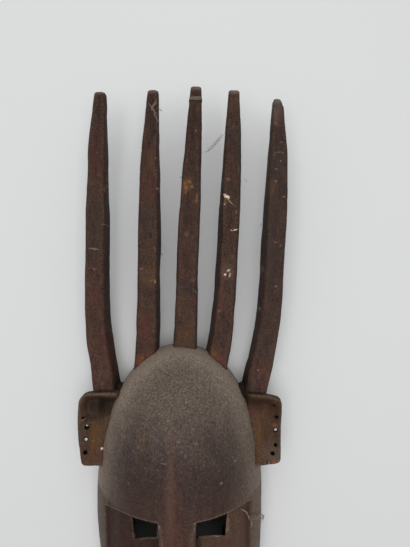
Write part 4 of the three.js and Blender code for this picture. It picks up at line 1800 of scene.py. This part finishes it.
# A pale knot where the left ear meets the head, on both of their surfaces
KNOT = Mark(-78.5, 38, 1.4, 1.3, CREAM, 1.0)
HORN_MARKS = (
    # The first horn
    haze(-82, 322, 8, 22, RED, 0.3),
    haze(-80, 262, 8, 17, GREY, 0.35),
    haze(-83, 235, 5, 12, GREY, 0.35),
    haze(-85, 187, 8, 20, RED, 0.25),
    haze(-76, 128, 9, 24, RED, 0.3),
    # painted shade in the crevice at the horn's inner foot and over the web beside the crown
    haze(-71, 101, 5, 6, DARK, 0.3),
    haze(-62, 95, 6, 13, DARK, 1.0),
    # a dusty, worn top edge with a painted highlight on the tip
    haze(-79, 392.5, 6, 2, DUST_AND_HIGHLIGHT, 0.3),
    Mark(-80, 332, 0.8, 0.5, PALE, 0.5),
    Mark(-72, 308, 0.6, 1.5, OCHRE, 0.5),
    Mark(-72, 301, 0.6, 1.5, OCHRE, 0.6),
    Mark(-73, 296, 0.8, 3, OCHRE, 0.6),
    Mark(-73.5, 262, 2.5, 0.5, PALE, 0.5),
    Mark(-83, 238, 5.5, 0.7, PALE, 0.65, -0.17),
    Mark(-88, 219, 2.2, 0.4, ORANGE, 0.45),
    Mark(-82.5, 218.5, 2, 0.5, PALE, 0.6, -0.1),
    Mark(-67, 146, 0.5, 5, PALE, 0.3, 0.35),
    Mark(-79.5, 101.5, 1.5, 1.3, ORANGE, 0.3, 0.0, 0.6),
    # The second horn
    haze(-28, 325, 3.5, 9, OCHRE, 0.3),
    haze(-30, 297, 7, 14, RED, 0.35),
    haze(-31, 269, 7, 11, GREY, 0.35),
    haze(-28, 212, 8, 9, OCHRE, 0.25),
    haze(-34, 159, 4.5, 15, RED, 0.5),
    haze(-27, 136, 3, 9, DARK, 0.3, 0.5),
    haze(-33, 131, 8, 3.5, RUST, 0.3, 0.7),
    haze(-41.5, 123.5, 3.5, 5.5, RUST, 0.6, 0.35),
    # a dusty, worn top edge with a painted highlight on the tip
    haze(-26.5, 394.5, 6, 2.4, DUST_AND_HIGHLIGHT, 0.35),
    Mark(-23, 327, 1.2, 1, PALE, 0.3),
    Mark(-20.5, 300, 0.9, 1, DARK, 0.6),
    Mark(-21, 297, 1, 1, PALE, 0.9),
    Mark(-20.5, 290, 0.9, 2.2, DARK, 0.5),
    Mark(-23.5, 238, 0.6, 3, PALE, 0.25),
    Mark(-37, 218.5, 2, 0.5, PALE, 0.5),
    Mark(-27, 207, 1.8, 1, ORANGE, 0.5),
    Mark(-23.5, 206, 0.9, 1.7, PALE, 0.85),
    Mark(-38, 128, 1.3, 1.3, OCHRE, 0.7, 0.0, 0.6),
    # The third horn
    # a dusty, worn top edge with a painted highlight on the tip
    haze(17, 397.5, 6, 2.2, DUST_AND_HIGHLIGHT, 0.4),
    haze(17, 385, 5.5, 2.2, DARK, 0.3),
    haze(14, 365, 6, 16, DARK, 0.18),
    haze(8, 301, 4.5, 7, OCHRE, 0.4),
    haze(5.5, 243, 3.5, 5, RED, 0.3),
    haze(10, 203, 5, 8, GREY, 0.4),
    haze(6, 151, 8, 26, OCHRE, 0.16),
    Mark(16.5, 354, 1, 1.2, PALE, 0.3),
    Mark(7, 297.5, 2, 2.4, ORANGE, 0.6, 0.0, 0.5),
    Mark(10, 303.5, 1.8, 1.6, ORANGE, 0.45, 0.0, 0.6),
    Mark(10, 303.5, 1.1, 1, PALE, 0.4),
    Mark(12.5, 298.5, 1.2, 1.6, PALE, 0.45),
    Mark(5.5, 302, 1.4, 2.8, ORANGE, 0.5, 0.0, 0.6),
    Mark(6.5, 293, 1.5, 1.6, ORANGE, 0.4, 0.0, 0.6),
    Mark(17.5, 288, 1.3, 5, OCHRE, 0.7),
    Mark(16, 284.5, 0.8, 1.6, ORANGE, 0.4),
    Mark(7.5, 252.5, 2.2, 2.6, OCHRE, 0.45),
    Mark(14.5, 227.5, 1, 1.2, OCHRE, 0.5),
    Mark(14, 207, 0.7, 1.4, OCHRE, 0.5),
    # The fourth horn
    # a dusty, worn top edge with a painted highlight on the tip
    haze(54.5, 393.5, 6, 2.2, DUST_AND_HIGHLIGHT, 0.45),
    haze(54, 382, 5, 9, OCHRE, 0.25),
    haze(53.5, 352, 6, 11, GREY, 0.35),
    haze(47.5, 214.5, 5.5, 6.5, PALE, 0.25),
    haze(38, 142.5, 3, 9, GREY, 0.3, 0.2),
    haze(38.5, 128.5, 10, 3, RUST, 0.4, -0.72),
    haze(35, 133, 3, 2, OCHRE, 0.5, -0.7),
    Mark(53, 358, 1.2, 0.6, ORANGE, 0.3),
    Mark(48, 306, 2.2, 1.6, PALE, 0.3),
    Mark(46, 285, 2, 2.6, OCHRE, 0.9),
    Mark(46.5, 285, 1.1, 1.6, DARK, 0.6),
    Mark(46.5, 289, 2.4, 1.3, CREAM, 1.0, -0.2),
    Mark(44.5, 291, 1.3, 0.8, CREAM, 0.7),
    Mark(48.5, 288, 1, 1.4, CREAM, 0.7),
    Mark(44.5, 281.5, 0.8, 1.3, CREAM, 0.35, 0.4),
    Mark(49.5, 284.5, 4.4, 0.35, CREAM, 0.4, -0.8),
    Mark(52, 282, 3, 0.3, PALE, 0.5, -0.9),
    Mark(55.5, 274, 0.8, 1.2, PALE, 0.4),
    Mark(55, 256.5, 2, 0.55, CREAM, 0.95, 0.3),
    Mark(51.5, 256, 1.6, 0.35, CREAM, 0.5, -0.3),
    Mark(48.5, 217, 1.6, 0.9, CREAM, 0.7, 0.5, 0.5),
    Mark(45, 213, 1.2, 1, CREAM, 0.95, 0.3, 0.4),
    Mark(49.5, 212.5, 0.9, 1.8, CREAM, 0.5, -0.3, 0.5),
    Mark(47.5, 212.5, 0.9, 2, DARK, 0.7, -0.4, 0.5),
    Mark(39.5, 177, 2.2, 1.4, PALE, 0.3),
    # The fifth horn
    # a dusty, worn top edge with a painted highlight on the tip
    haze(97, 384, 5, 2.4, DUST_AND_HIGHLIGHT, 0.3),
    haze(96, 374, 4.5, 12, DUST_AND_HIGHLIGHT, 0.16),
    haze(96, 318, 9, 30, GREY, 0.5),
    haze(92, 231, 9, 40, GREY, 0.55),
    haze(84, 157, 9, 30, GREY, 0.35),
    haze(91, 298, 4, 6, OCHRE, 0.3),
    haze(84, 118, 6, 9, RED, 0.25),
    # painted shade in the crevice at the horn's inner foot and over the web beside the crown
    haze(68, 103, 5, 8, DARK, 0.5),
    haze(63, 95, 6, 13, DARK, 1.0),
    haze(68.5, 93, 3.5, 10, DARK, 0.4),
    Mark(95, 361.5, 1.6, 1.4, PALE, 0.3),
    Mark(100.5, 342.5, 2.4, 0.45, PALE, 0.5, 0.1),
    Mark(93, 330.5, 2.2, 0.4, PALE, 0.5, 0.92),
    Mark(97, 332.5, 2.7, 0.4, PALE, 0.5, 0.17),
    Mark(101, 332, 2, 0.4, PALE, 0.5, -0.47),
    Mark(99.5, 324, 0.8, 0.6, PALE, 0.6),
    Mark(95, 316, 1.6, 0.5, PALE, 0.6, 0.1),
    Mark(94.5, 304, 1.4, 1.2, PALE, 0.4),
    Mark(102.5, 289, 1.8, 0.6, PALE, 0.6, 0.3),
    Mark(94, 244.5, 3, 0.4, PALE, 0.4, -0.1),
    Mark(99, 241, 1.6, 0.4, PALE, 0.4, 0.6),
    Mark(82.5, 218.5, 0.8, 3.4, OCHRE, 0.6),
    Mark(95, 201.5, 1, 0.9, PALE, 0.7),
    Mark(80.5, 178.5, 0.9, 1.7, PALE, 0.5),
    Mark(79.5, 115.5, 0.9, 0.9, PALE, 0.7),
)
HEAD_MARKS = (
    KNOT,
    Mark(-15, 121, 7.5, 0.5, DARK, 0.35, -0.38),
    Mark(-14, 122.5, 6, 0.5, DUST_AND_HIGHLIGHT, 0.35, -0.38),
    Mark(36.5, 108.5, 5.5, 0.5, DUST_AND_HIGHLIGHT, 0.4, -0.85),
    Mark(38, 110, 4.5, 0.4, DARK, 0.3, -0.85),
    Mark(-1, 136.5, 1.2, 0.9, DUST_AND_HIGHLIGHT, 0.5),
    Mark(20.5, 108.5, 0.7, 0.7, DUST_AND_HIGHLIGHT, 0.7),
    Mark(8, 97.5, 0.8, 1.2, DUST_AND_HIGHLIGHT, 0.5),
    Mark(-10, 49.5, 2.5, 0.4, DUST_AND_HIGHLIGHT, 0.55),
    Mark(-43, 26.5, 0.8, 0.7, DUST_AND_HIGHLIGHT, 0.5),
    Mark(-55.5, 75.5, 0.9, 0.7, DUST_AND_HIGHLIGHT, 0.4),
    Mark(-29, 68.5, 0.6, 7, OCHRE, 0.5),
    Mark(-30.5, 62, 3, 8, OCHRE, 0.22),
    Mark(-5, 58, 3, 9, RED, 0.12),
    Mark(18, 64.5, 2, 0.5, DUST_AND_HIGHLIGHT, 0.45),
    Mark(53.5, 41, 1.4, 0.8, DUST_AND_HIGHLIGHT, 0.4),
    Mark(40, 27.5, 1, 1, DUST_AND_HIGHLIGHT, 0.5),
    Mark(60, 35, 3, 3.5, RED, 0.15),
    Mark(-67, -7, 3.4, 2.6, RED, 0.4, 0.0, 0.6),
    Mark(-13.5, -2, 1, 0.8, DUST_AND_HIGHLIGHT, 0.4),
    Mark(16, 0, 1, 0.8, DUST_AND_HIGHLIGHT, 0.4),
    Mark(46.5, -12.5, 0.9, 1.8, DUST_AND_HIGHLIGHT, 0.3, 0.0, 0.7),
    Mark(46, -20.5, 1.2, 2.2, DUST_AND_HIGHLIGHT, 0.25, -0.4, 0.7),
    Mark(36, -25, 1.6, 0.5, DUST_AND_HIGHLIGHT, 0.7),
    Mark(31, -24.5, 11, 0.5, DUST_AND_HIGHLIGHT, 0.25, 0.09),
    haze(46.5, -17, 1.5, 8, DUST_AND_HIGHLIGHT, 0.14, 0.05),
    haze(0.5, -14, 6, 30, RED, 0.15),
    haze(-4.5, 24, 3.4, 40, PALE, 0.16),
    haze(-3, 20, 7, 34, RED, 0.16),
)
EAR_MARKS = (
    KNOT,
    haze(-85, 52, 6, 15, GOLD, 0.4),
    haze(-87, 50, 2, 9, GOLD, 0.5),
    haze(-88, 30, 12, 9, RED, 0.3),
    haze(-98, 50, 3.4, 40, GREY, 0.3),
    haze(-99, 80, 3.4, 14, PALE, 0.25, 0.1),
    # painted shade in the scoop under the left ear's top rim
    haze(-81, 79, 14, 8, DARK, 0.75, 0.12),
    haze(-83, 68, 12, 5, DARK, 0.35, 0.35),
    haze(-84, 82, 13, 5, DARK, 0.4),
    haze(-95, 67, 2, 3, DARK, 0.4),
    Mark(-97, 67, 2, 0.8, PALE, 0.5, 0.4, 0.7),
    Mark(-87.5, 45, 1.2, 0.6, PALE, 0.4),
    haze(78, 76, 13, 10, RED, 0.4),
    # painted shade under the right ear's top rim and in the seam beside the head
    haze(80, 82, 18, 7, DARK, 0.45, -0.1),
    haze(68.5, 90, 3.4, 10, DARK, 0.55),
    haze(100, 60, 4, 30, DARK, 0.3),
    haze(94, 34, 8, 10, DUST_AND_HIGHLIGHT, 0.14),
    haze(80, 50, 5, 15, GOLD, 0.35),
    haze(79, 52, 1.6, 7, GOLD, 0.4),
    Mark(95.5, 62, 2.6, 1.8, ORANGE, 0.4, 0.0, 0.7),
    Mark(94, 25, 1.4, 2.4, ORANGE, 0.55, 0.0, 0.5),
    Mark(97.5, 25.5, 1.2, 1.8, ORANGE, 0.4, -0.5, 0.6),
    Mark(89, 24, 1.4, 1.6, PALE, 0.5),
    Mark(87.5, 24.5, 0.8, 2.8, DARK, 0.9),
)


@dataclass(frozen=True)
class Finish:
    """The look of one kind of surface on the carving.

    Colours are as they show in daylight, from 0 to 255.

    Attributes:
        body: the wood between its streaks.
        streak: the wood in its streaks.
        patch: broad patches of another hue.
        painted_side_shade: painted shade, how much darker surfaces are that don't face up.
        edge: the colour of worn edges, which also paints a highlight along them.
        wear_and_highlight: how much the edges show it, as worn wood and as a painted highlight.
        mottle: how strongly the fine mottle shows.
        roughness: the surface's roughness.
        shine: how strongly it mirrors.
        relief: depth of the fine bump, in mm.
        pores: how much darker the pores are.
        painted_corner_shade: painted shade, how much darker the corners and creases are.
        fray: noise by which the marks' edges stray, as features for each mm.
        stray: how far they stray in mm.
        marks: scratches, chips and stains, and patches of painted shade and painted highlight.
    """

    body: Triple
    streak: Triple
    patch: Triple
    edge: Triple = (96, 76, 64)
    painted_side_shade: float = 0.25
    wear_and_highlight: float = 0.4
    mottle: float = 0.25
    roughness: float = 0.62
    shine: float = 0.14
    relief: float = 0.25
    pores: float = 0.22
    painted_corner_shade: float = 0.45
    fray: float = 0.7
    stray: float = 2.4
    marks: tuple[Mark, ...] = ()

    def base(self, nodes: Nodes, place: object, grain: Node) -> object:
        """The wood's colour before its edges and marks.

        Args:
            nodes: the material's tree.
            place: places in the carving frame, in mm; not used here.
            grain: the wood's pattern.

        Returns:
            a colour output.
        """
        pattern = grain.outputs
        colour = nodes.mix(pattern["Streak"], paint(*self.body), paint(*self.streak))
        return nodes.mix(pattern["Broad"], colour, paint(*self.patch))

    def dress(self, nodes: Nodes, colour: object, place: object, mark: object) -> object:
        """Lay the marks over the wood, with edges that a noise makes ragged.

        Args:
            nodes: the material's tree.
            colour: the wood's colour.
            place: places in the carving frame, in mm.
            mark: the node group of one mark.

        Returns:
            a colour output.
        """
        noise = nodes.noise(place, (self.fray, self.fray, self.fray), 3.0, 0.6)
        jitter = nodes.vector("SUBTRACT", noise.outputs["Color"], (0.5, 0.5, 0.5))
        jitter = nodes.vector("MULTIPLY", jitter, (self.stray, self.stray, 0.0))
        ragged = nodes.vector("ADD", place, jitter)
        for one in self.marks:
            inputs = {
                "Place": ragged,
                "Middle": (one.x, one.y, 0.0),
                "Shrink": (1.0 / one.wide, 1.0 / one.tall, 0.0),
                "Turn": -one.turn,
                "Strength": one.strength,
                "Soft": one.soft,
            }
            mask = nodes.use(mark, inputs).outputs["Mask"]
            colour = nodes.mix(mask, colour, paint(*one.tint.value))
        return colour

    def build(self, wood: Wood, offset: Array, grain: object, mark: object) -> None:
        """Make the material of one finish.

        Args:
            wood: which finish it is.
            offset: what the part's frame adds to the carving frame, in mm.
            grain: the node group of the wood's pattern.
            mark: the node group of one mark.
        """
        nodes, shader = open_material(bpy.data.materials[wood.name])
        local = nodes.add("ShaderNodeTexCoord", {}).outputs["Object"]
        scaled = nodes.vector("MULTIPLY", local, (1.0 / MM, 1.0 / MM, 1.0 / MM))
        place = nodes.vector("SUBTRACT", scaled, tuple(offset))
        pattern = nodes.use(grain, {"Place": place})
        mottle, pore = pattern.outputs["Mottle"], pattern.outputs["Pore"]
        shade = nodes.product(
            nodes.gain(nodes.math("SUBTRACT", mottle, 0.5), 2.0 * self.mottle),
            nodes.gain(pore, -self.pores),
            # painted shade: surfaces that don't face up are darker
            nodes.gain(nodes.math("SUBTRACT", 1.0, nodes.stored("up")), -self.painted_side_shade),
            # painted shade: corners and creases are darker
            nodes.gain(nodes.stored("deep"), -self.painted_corner_shade),
        )
        colour = nodes.scale(self.base(nodes, place, pattern), shade)
        # worn edges are lighter: worn wood, and a painted highlight along the edges
        rubbed_and_lit = nodes.product(nodes.stored("worn"), mottle, self.wear_and_highlight)
        colour = nodes.mix(rubbed_and_lit, colour, paint(*self.edge))
        colour = self.dress(nodes, colour, place, mark)
        height = nodes.math("SUBTRACT", mottle, pore)
        inputs = {"Height": height, "Strength": 1.0, "Distance": self.relief * MM}
        bump = nodes.add("ShaderNodeBump", inputs)
        nodes.feed(shader.inputs["Base Color"], colour)
        nodes.feed(shader.inputs["Normal"], bump.outputs["Normal"])
        shader.inputs["Roughness"].default_value = self.roughness
        shader.inputs["Specular IOR Level"].default_value = self.shine


@dataclass(frozen=True)
class HeadFinish(Finish):
    """The head's look: bare wood low down under a pale dusty coat, partly painted light, that thickens to
    the crown.

    A fade goes by y, or by the axis in its name. Those of the nose's side, the rim and the
    groove's two sides go by the distance out from the nose's middle, and back_dust by z.

    Attributes:
        brow: the wood of the lower forehead.
        groove_shade: painted shade in the corner inside the rim, with groove_shade_share as its share.
        middle: x of the nose's middle.
        streaks: how much the streaks show on the face.
        sway: how far the lower edge of the pale dusty coat sways up and down, in mm.
        steep_dust_and_light: the dusty coat and painted light by steepness, with its power and its full
            share.
        right_darker: how much less of the pale dusty coat there is towards the right, by x.
        under_painted_shade: painted shade, how much less of the pale dusty coat there is low on the right
            side.
        ragged: how much the pale dusty coat varies with the fine mottle.
        crackle: the dry, cracked surface of the forehead.
    """

    # the pale dusty colour, lightened to paint light on the head
    dust_and_light: Triple = (149, 135, 121)
    brow: Triple = (67, 48, 42)
    face: Triple = (72, 49, 40)
    cheek: Triple = (54, 33, 26)
    right_cheek: Triple = (84, 61, 47)
    # painted shade: a darker colour in the corner inside the rim
    groove_shade: Triple = (52, 29, 22)
    speck: Triple = (150, 136, 122)
    middle: float = 1.3
    brow_y: Fade = Fade(44.0, 4.0, 0.8)
    face_y: Fade = Fade(4.0, -6.0)
    streaks: float = 0.3
    nose_side: Fade = Fade(16.0, 22.0)
    left_x: Fade = Fade(12.0, -12.0)
    right_x: Fade = Fade(0.0, 12.0)
    groove_in: Fade = Fade(58.0, 66.0)
    groove_out: Fade = Fade(73.0, 67.0)
    groove_y: Fade = Fade(0.0, -10.0)
    groove_shade_share: float = 0.4
    sway: float = 24.0
    # painted light and a dusty coat: the head is paler towards the crown
    crown_dust_and_light: Fade = Fade(28.0, 112.0, 0.33)
    steep_dust_and_light: Fade = Fade(0.86, 0.3)
    steep_power: float = 1.4
    steep_share: float = 0.9
    right_darker: Fade = Fade(0.0, 60.0, -0.22)
    brow_dust: Fade = Fade(-6.0, 2.0)
    rim_dust: Fade = Fade(66.5, 70.5, 0.5)
    chin_dust: Fade = Fade(-230.0, -90.0)
    back_dust: Fade = Fade(8.0, 24.0)
    # painted shade low on the right side
    under_z: Fade = Fade(42.0, 29.0)
    under_x: Fade = Fade(0.0, 20.0)
    under_painted_shade: float = 0.7
    ragged: float = 0.5
    crackle: Pattern = Pattern((0.4, 0.34, 0.4), 3.0, 0.7, 0.36, 0.62)
    crackle_y: Fade = Fade(-4.0, 20.0, 0.2)
    speck_y: Fade = Fade(10.0, 60.0, 0.25)

    def outward(self, nodes: Nodes, x: object) -> object:
        """Distance from the nose's middle."""
        return nodes.math("ABSOLUTE", nodes.math("SUBTRACT", x, self.middle))

    def bare(self, nodes: Nodes, place: object, grain: Node) -> object:
        """The bare wood: the forehead's, then the brow's, then the face's with its two cheeks
        and painted shade in the corner inside its rim.

        Args:
            nodes: the material's tree.
            place: places in the carving frame, in mm.
            grain: the wood's pattern.

        Returns:
            a colour output.
        """
        wood = super().base(nodes, place, grain)
        x, y, _ = nodes.split(place)
        wood = nodes.mix(self.brow_y.at(nodes, y), wood, paint(*self.brow))
        away = self.outward(nodes, x)
        side = self.nose_side.at(nodes, away)
        left = nodes.product(self.left_x.at(nodes, x), side)
        right = nodes.product(self.right_x.at(nodes, x), side)
        face = nodes.mix(left, paint(*self.face), paint(*self.cheek))
        face = nodes.mix(right, face, paint(*self.right_cheek))
        streaks = nodes.product(grain.outputs["Streak"], self.streaks)
        face = nodes.mix(streaks, face, paint(*self.streak))
        wood = nodes.mix(self.face_y.at(nodes, y), wood, face)
        inner, outer = self.groove_in.at(nodes, away), self.groove_out.at(nodes, away)
        # painted shade in the corner inside the rim
        groove_shade = nodes.product(inner, outer, self.groove_y.at(nodes, y), self.groove_shade_share)
        return nodes.mix(groove_shade, wood, paint(*self.groove_shade))

    def dust_and_light_share(self, nodes: Nodes, place: object, level: object) -> object:
        """Share of the pale dusty coat, partly painted light: it grows up the forehead and where the
        surface is steep, is less towards the right, and painted shade cuts it low on the right side.

        Args:
            nodes: the material's tree.
            place: places in the carving frame, in mm.
            level: y, swaying up and down.

        Returns:
            a number output.
        """
        x, y, z = nodes.split(place)
        # painted light and a dusty coat: steep surfaces are paler
        steep = self.steep_dust_and_light.at(nodes, nodes.stored("up"))
        steep = nodes.product(nodes.math("POWER", steep, self.steep_power), self.steep_share)
        right = nodes.math("ADD", self.right_darker.at(nodes, x), 1.0)
        rim = self.rim_dust.at(nodes, self.outward(nodes, x))
        above = nodes.math("MAXIMUM", self.brow_dust.at(nodes, y), rim)
        above = nodes.product(above, self.chin_dust.at(nodes, y))
        # painted shade: the pale coat is cut low on the right side
        under = nodes.product(self.under_z.at(nodes, z), self.under_x.at(nodes, x))
        low_right_shade = nodes.gain(under, -self.under_painted_shade)
        back = self.back_dust.at(nodes, z)
        steep = nodes.product(nodes.product(steep, right), above, back, low_right_shade)
        return nodes.math("ADD", self.crown_dust_and_light.at(nodes, level), steep)

    def base(self, nodes: Nodes, place: object, grain: Node) -> object:
        """The head's colour: bare wood, a dusty coat with painted light, then crackle and pale specks.

        Args:
            nodes: the material's tree.
            place: places in the carving frame, in mm.
            grain: the wood's pattern.

        Returns:
            a colour output.
        """
        wood = self.bare(nodes, place, grain)
        _, y, _ = nodes.split(place)
        broad = nodes.math("SUBTRACT", grain.outputs["Broad"], 0.5)
        fine = nodes.math("SUBTRACT", grain.outputs["Mottle"], 0.5)
        level = nodes.math("ADD", y, nodes.product(broad, self.sway))
        share = nodes.product(self.dust_and_light_share(nodes, place, level), nodes.gain(fine, self.ragged))
        # the pale dusty coat over the wood, partly painted light
        wood = nodes.mix(share, wood, paint(*self.dust_and_light))
        crackle = nodes.math("SUBTRACT", self.crackle.mask(nodes, place), 0.5)
        wood = nodes.scale(wood, nodes.gain(crackle, self.crackle_y.at(nodes, y)))
        speck = nodes.product(grain.outputs["Speck"], self.speck_y.at(nodes, level))
        return nodes.mix(speck, wood, paint(*self.speck))


@dataclass(frozen=True)
class HornFinish(Finish):
    """The horns' look: redder and darker patches, and a paler surface at the feet.

    Attributes:
        blush: the redder wood.
        blush_spots: where it is.
        bruise: the darker wood.
        bruise_spots: where it is.
        spots: how much the two show.
        foot: how much lighter the feet are, by y.
    """

    blush: Triple = (84, 49, 40)
    blush_spots: Pattern = Pattern((0.2, 0.07, 0.2), 3.0, 0.6, 0.48, 0.68)
    bruise: Triple = (38, 31, 34)
    bruise_spots: Pattern = Pattern((0.17, 0.1, 0.17), 3.0, 0.6, 0.48, 0.68)
    spots: float = 0.5
    foot: Fade = Fade(330.0, 110.0, 0.5)

    def base(self, nodes: Nodes, place: object, grain: Node) -> object:
        """The horns' colour: patches of redder and of darker wood, paler towards the feet.

        Args:
            nodes: the material's tree.
            place: places in the carving frame, in mm.
            grain: the wood's pattern.

        Returns:
            a colour output.
        """
        wood = super().base(nodes, place, grain)
        for spots, colour in ((self.blush_spots, self.blush), (self.bruise_spots, self.bruise)):
            share = nodes.product(spots.mask(nodes, place), self.spots)
            wood = nodes.mix(share, wood, paint(*colour))
        _, y, _ = nodes.split(place)
        return nodes.scale(wood, nodes.math("ADD", self.foot.at(nodes, y), 1.0))


@dataclass(frozen=True)
class LintFinish:
    """The lint's look: dull grey-brown fibre, paler in the cobweb at the temple.

    Colours are as they show in daylight, from 0 to 255.

    Attributes:
        cobweb: the fibre at the temple.
        thread: the fibre on the horns.
        horn_y: where the one becomes the other, in metres up the head.
        roughness: its roughness.
    """

    cobweb: Triple = (136, 120, 110)
    thread: Triple = (120, 108, 96)
    horn_y: Fade = Fade(0.0, 0.1)
    roughness: float = 0.9

    def build(self, offset: Array) -> bpy.types.Material:
        """Make the material.

        Args:
            offset: what the part's frame adds to the carving frame, in mm.

        Returns:
            the material.
        """
        fibre = bpy.data.materials.new("fibre")
        nodes, shader = open_material(fibre)
        local = nodes.add("ShaderNodeTexCoord", {}).outputs["Object"]
        _, y, _ = nodes.split(nodes.vector("SUBTRACT", local, tuple(offset * MM)))
        share = self.horn_y.at(nodes, y)
        colour = nodes.mix(share, paint(*self.cobweb), paint(*self.thread))
        nodes.feed(shader.inputs["Base Color"], colour)
        shader.inputs["Roughness"].default_value = self.roughness
        return fibre


FINISHES = {
    Wood.HEAD: HeadFinish(
        (60, 47, 44),
        (66, 52, 50),
        (57, 43, 39),
        edge=(140, 124, 110),
        wear_and_highlight=1.0,
        marks=HEAD_MARKS,
        painted_side_shade=0.0,
    ),
    Wood.HORN: HornFinish(
        (67, 46, 38),
        (53, 37, 33),
        (64, 49, 38),
        edge=(104, 84, 70),
        wear_and_highlight=0.6,
        mottle=0.42,
        marks=HORN_MARKS,
        painted_side_shade=0.55,
    ),
    Wood.EAR: Finish(
        (88, 66, 51),
        (72, 51, 40),
        (82, 60, 43),
        edge=(118, 101, 89),
        wear_and_highlight=0.7,
        mottle=0.35,
        marks=EAR_MARKS,
    ),
    Wood.HOLLOW: Finish((40, 30, 24), (33, 24, 19), (36, 26, 21), wear_and_highlight=0.1),
}


@dataclass(frozen=True)
class Lamp:
    """An area light, with lengths in metres in the carving frame.

    Attributes:
        name: its name.
        place: where it is.
        aim: the point that it faces.
        size: its width and height.
        power: its power in watts.
    """

    name: str
    place: Triple
    aim: Triple
    size: Span
    power: float

    def hang(self, offset: Array) -> None:
        """Add the light to the scene.

        Args:
            offset: what is added to the carving frame to reach the part's frame, in metres.
        """
        data = bpy.data.lights.new(self.name, "AREA")
        data.shape = "RECTANGLE"
        data.size, data.size_y = self.size
        data.energy = self.power
        lamp = new_object(self.name, data)
        lamp.location = Vector(self.place) + Vector(offset)
        direction = Vector(self.aim) - Vector(self.place)
        lamp.rotation_euler = direction.to_track_quat("-Z", "Y").to_euler()


@dataclass(frozen=True)
class Studio:
    """Floor, camera and soft light.

    Lengths are in metres.

    Attributes:
        offset: what is added to the carving frame to reach the part's frame.
        camera: the camera's place in the carving frame, looking straight down.
        lens: focal length in mm.
        sensor: the sensor's length in mm along the picture's long side.
        reach: how far the floor reaches from the middle.
        paper: the floor's colour.
        lamps: a broad light from beyond the horns and one overhead.
    """

    offset: Array
    camera: Triple = (0.0254, 0.214, 0.46)
    lens: float = 27.05
    sensor: float = 36.0
    reach: float = 3.0
    paper: Triple = (0.80, 0.81, 0.81)
    roughness: float = 0.9
    shine: float = 0.2
    surround: float = 0.36
    lamps: tuple[Lamp, ...] = (
        Lamp("horn side", (0.0, 1.183, 1.3), (0.0, 0.133, 0.0), (1.2, 0.8), 4.6),
        Lamp("overhead", (0.0, 0.103, 1.6), (0.0, 0.103, 0.0), (1.4, 1.0), 12.4),
    )

    def floor(self) -> bpy.types.Object:
        """The pale floor.

        Returns:
            a wide flat sheet.
        """
        mesh = bpy.data.meshes.new("floor")
        corners = [(-1.0, -1.0, 0.0), (1.0, -1.0, 0.0), (1.0, 1.0, 0.0), (-1.0, 1.0, 0.0)]
        mesh.from_pydata((np.array(corners) * self.reach).tolist(), [], [(0, 1, 2, 3)])
        paper = bpy.data.materials.new("pale paper")
        _, shader = open_material(paper)
        shader.inputs["Base Color"].default_value = (*self.paper, 1.0)
        shader.inputs["Roughness"].default_value = self.roughness
        shader.inputs["Specular IOR Level"].default_value = self.shine
        mesh.materials.append(paper)
        return new_object("floor", mesh)

    def look(self) -> None:
        """Place the camera."""
        data = bpy.data.cameras.new("camera")
        data.sensor_width = self.sensor
        data.lens = self.lens
        camera = new_object("camera", data)
        camera.location = Vector(self.camera) + Vector(self.offset)
        bpy.context.scene.camera = camera

    def light(self) -> None:
        """The pale surround and the lamps."""
        world = bpy.data.worlds.new("surround")
        world.use_nodes = True
        background = world.node_tree.nodes["Background"]
        background.inputs["Color"].default_value = (1.0, 1.0, 1.0, 1.0)
        background.inputs["Strength"].default_value = self.surround
        bpy.context.scene.world = world
        for lamp in self.lamps:
            lamp.hang(self.offset)


def attach(piece: bpy.types.Object) -> None:
    """Hand a finished piece to the frame.

    Args:
        piece: the piece, at the origin and untransformed.
    """
    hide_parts(NODE)
    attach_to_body(piece, BODY)
    sides = read(piece.data.polygons, "loop_total", 1, int)
    LOG.info("%s: %d triangles", piece.name, int((sides - 2).sum()))


def main() -> None:
    """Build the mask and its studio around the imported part."""
    logging.basicConfig(level=logging.INFO, format="%(message)s")
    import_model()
    low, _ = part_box(NODE)
    offset = np.array([low.x / MM - LEFT_SIDE, low.y / MM - CHIN_SIDE, 0.0])
    mask = Mask(offset)
    carving = mask.carve()
    Relief().apply(carving.data, offset, TOP)
    carving.data.shade_smooth()
    carving.data.set_sharp_from_angle(angle=math.radians(SHARP))
    grain = grain_group()
    mark = mark_group()
    for wood, finish in FINISHES.items():
        finish.build(wood, offset, grain, mark)
    attach(carving)
    lint = mask.place(Lint().solid(mask.horns[2]), "lint")
    lint.data.materials.clear()
    lint.data.materials.append(LintFinish().build(offset))
    lint.data.shade_smooth()
    attach(lint)
    studio = Studio(offset * MM)
    studio.floor()
    studio.look()
    studio.light()
    bpy.context.scene.view_settings.view_transform = "Standard"


if __name__ == "__main__":
    main()
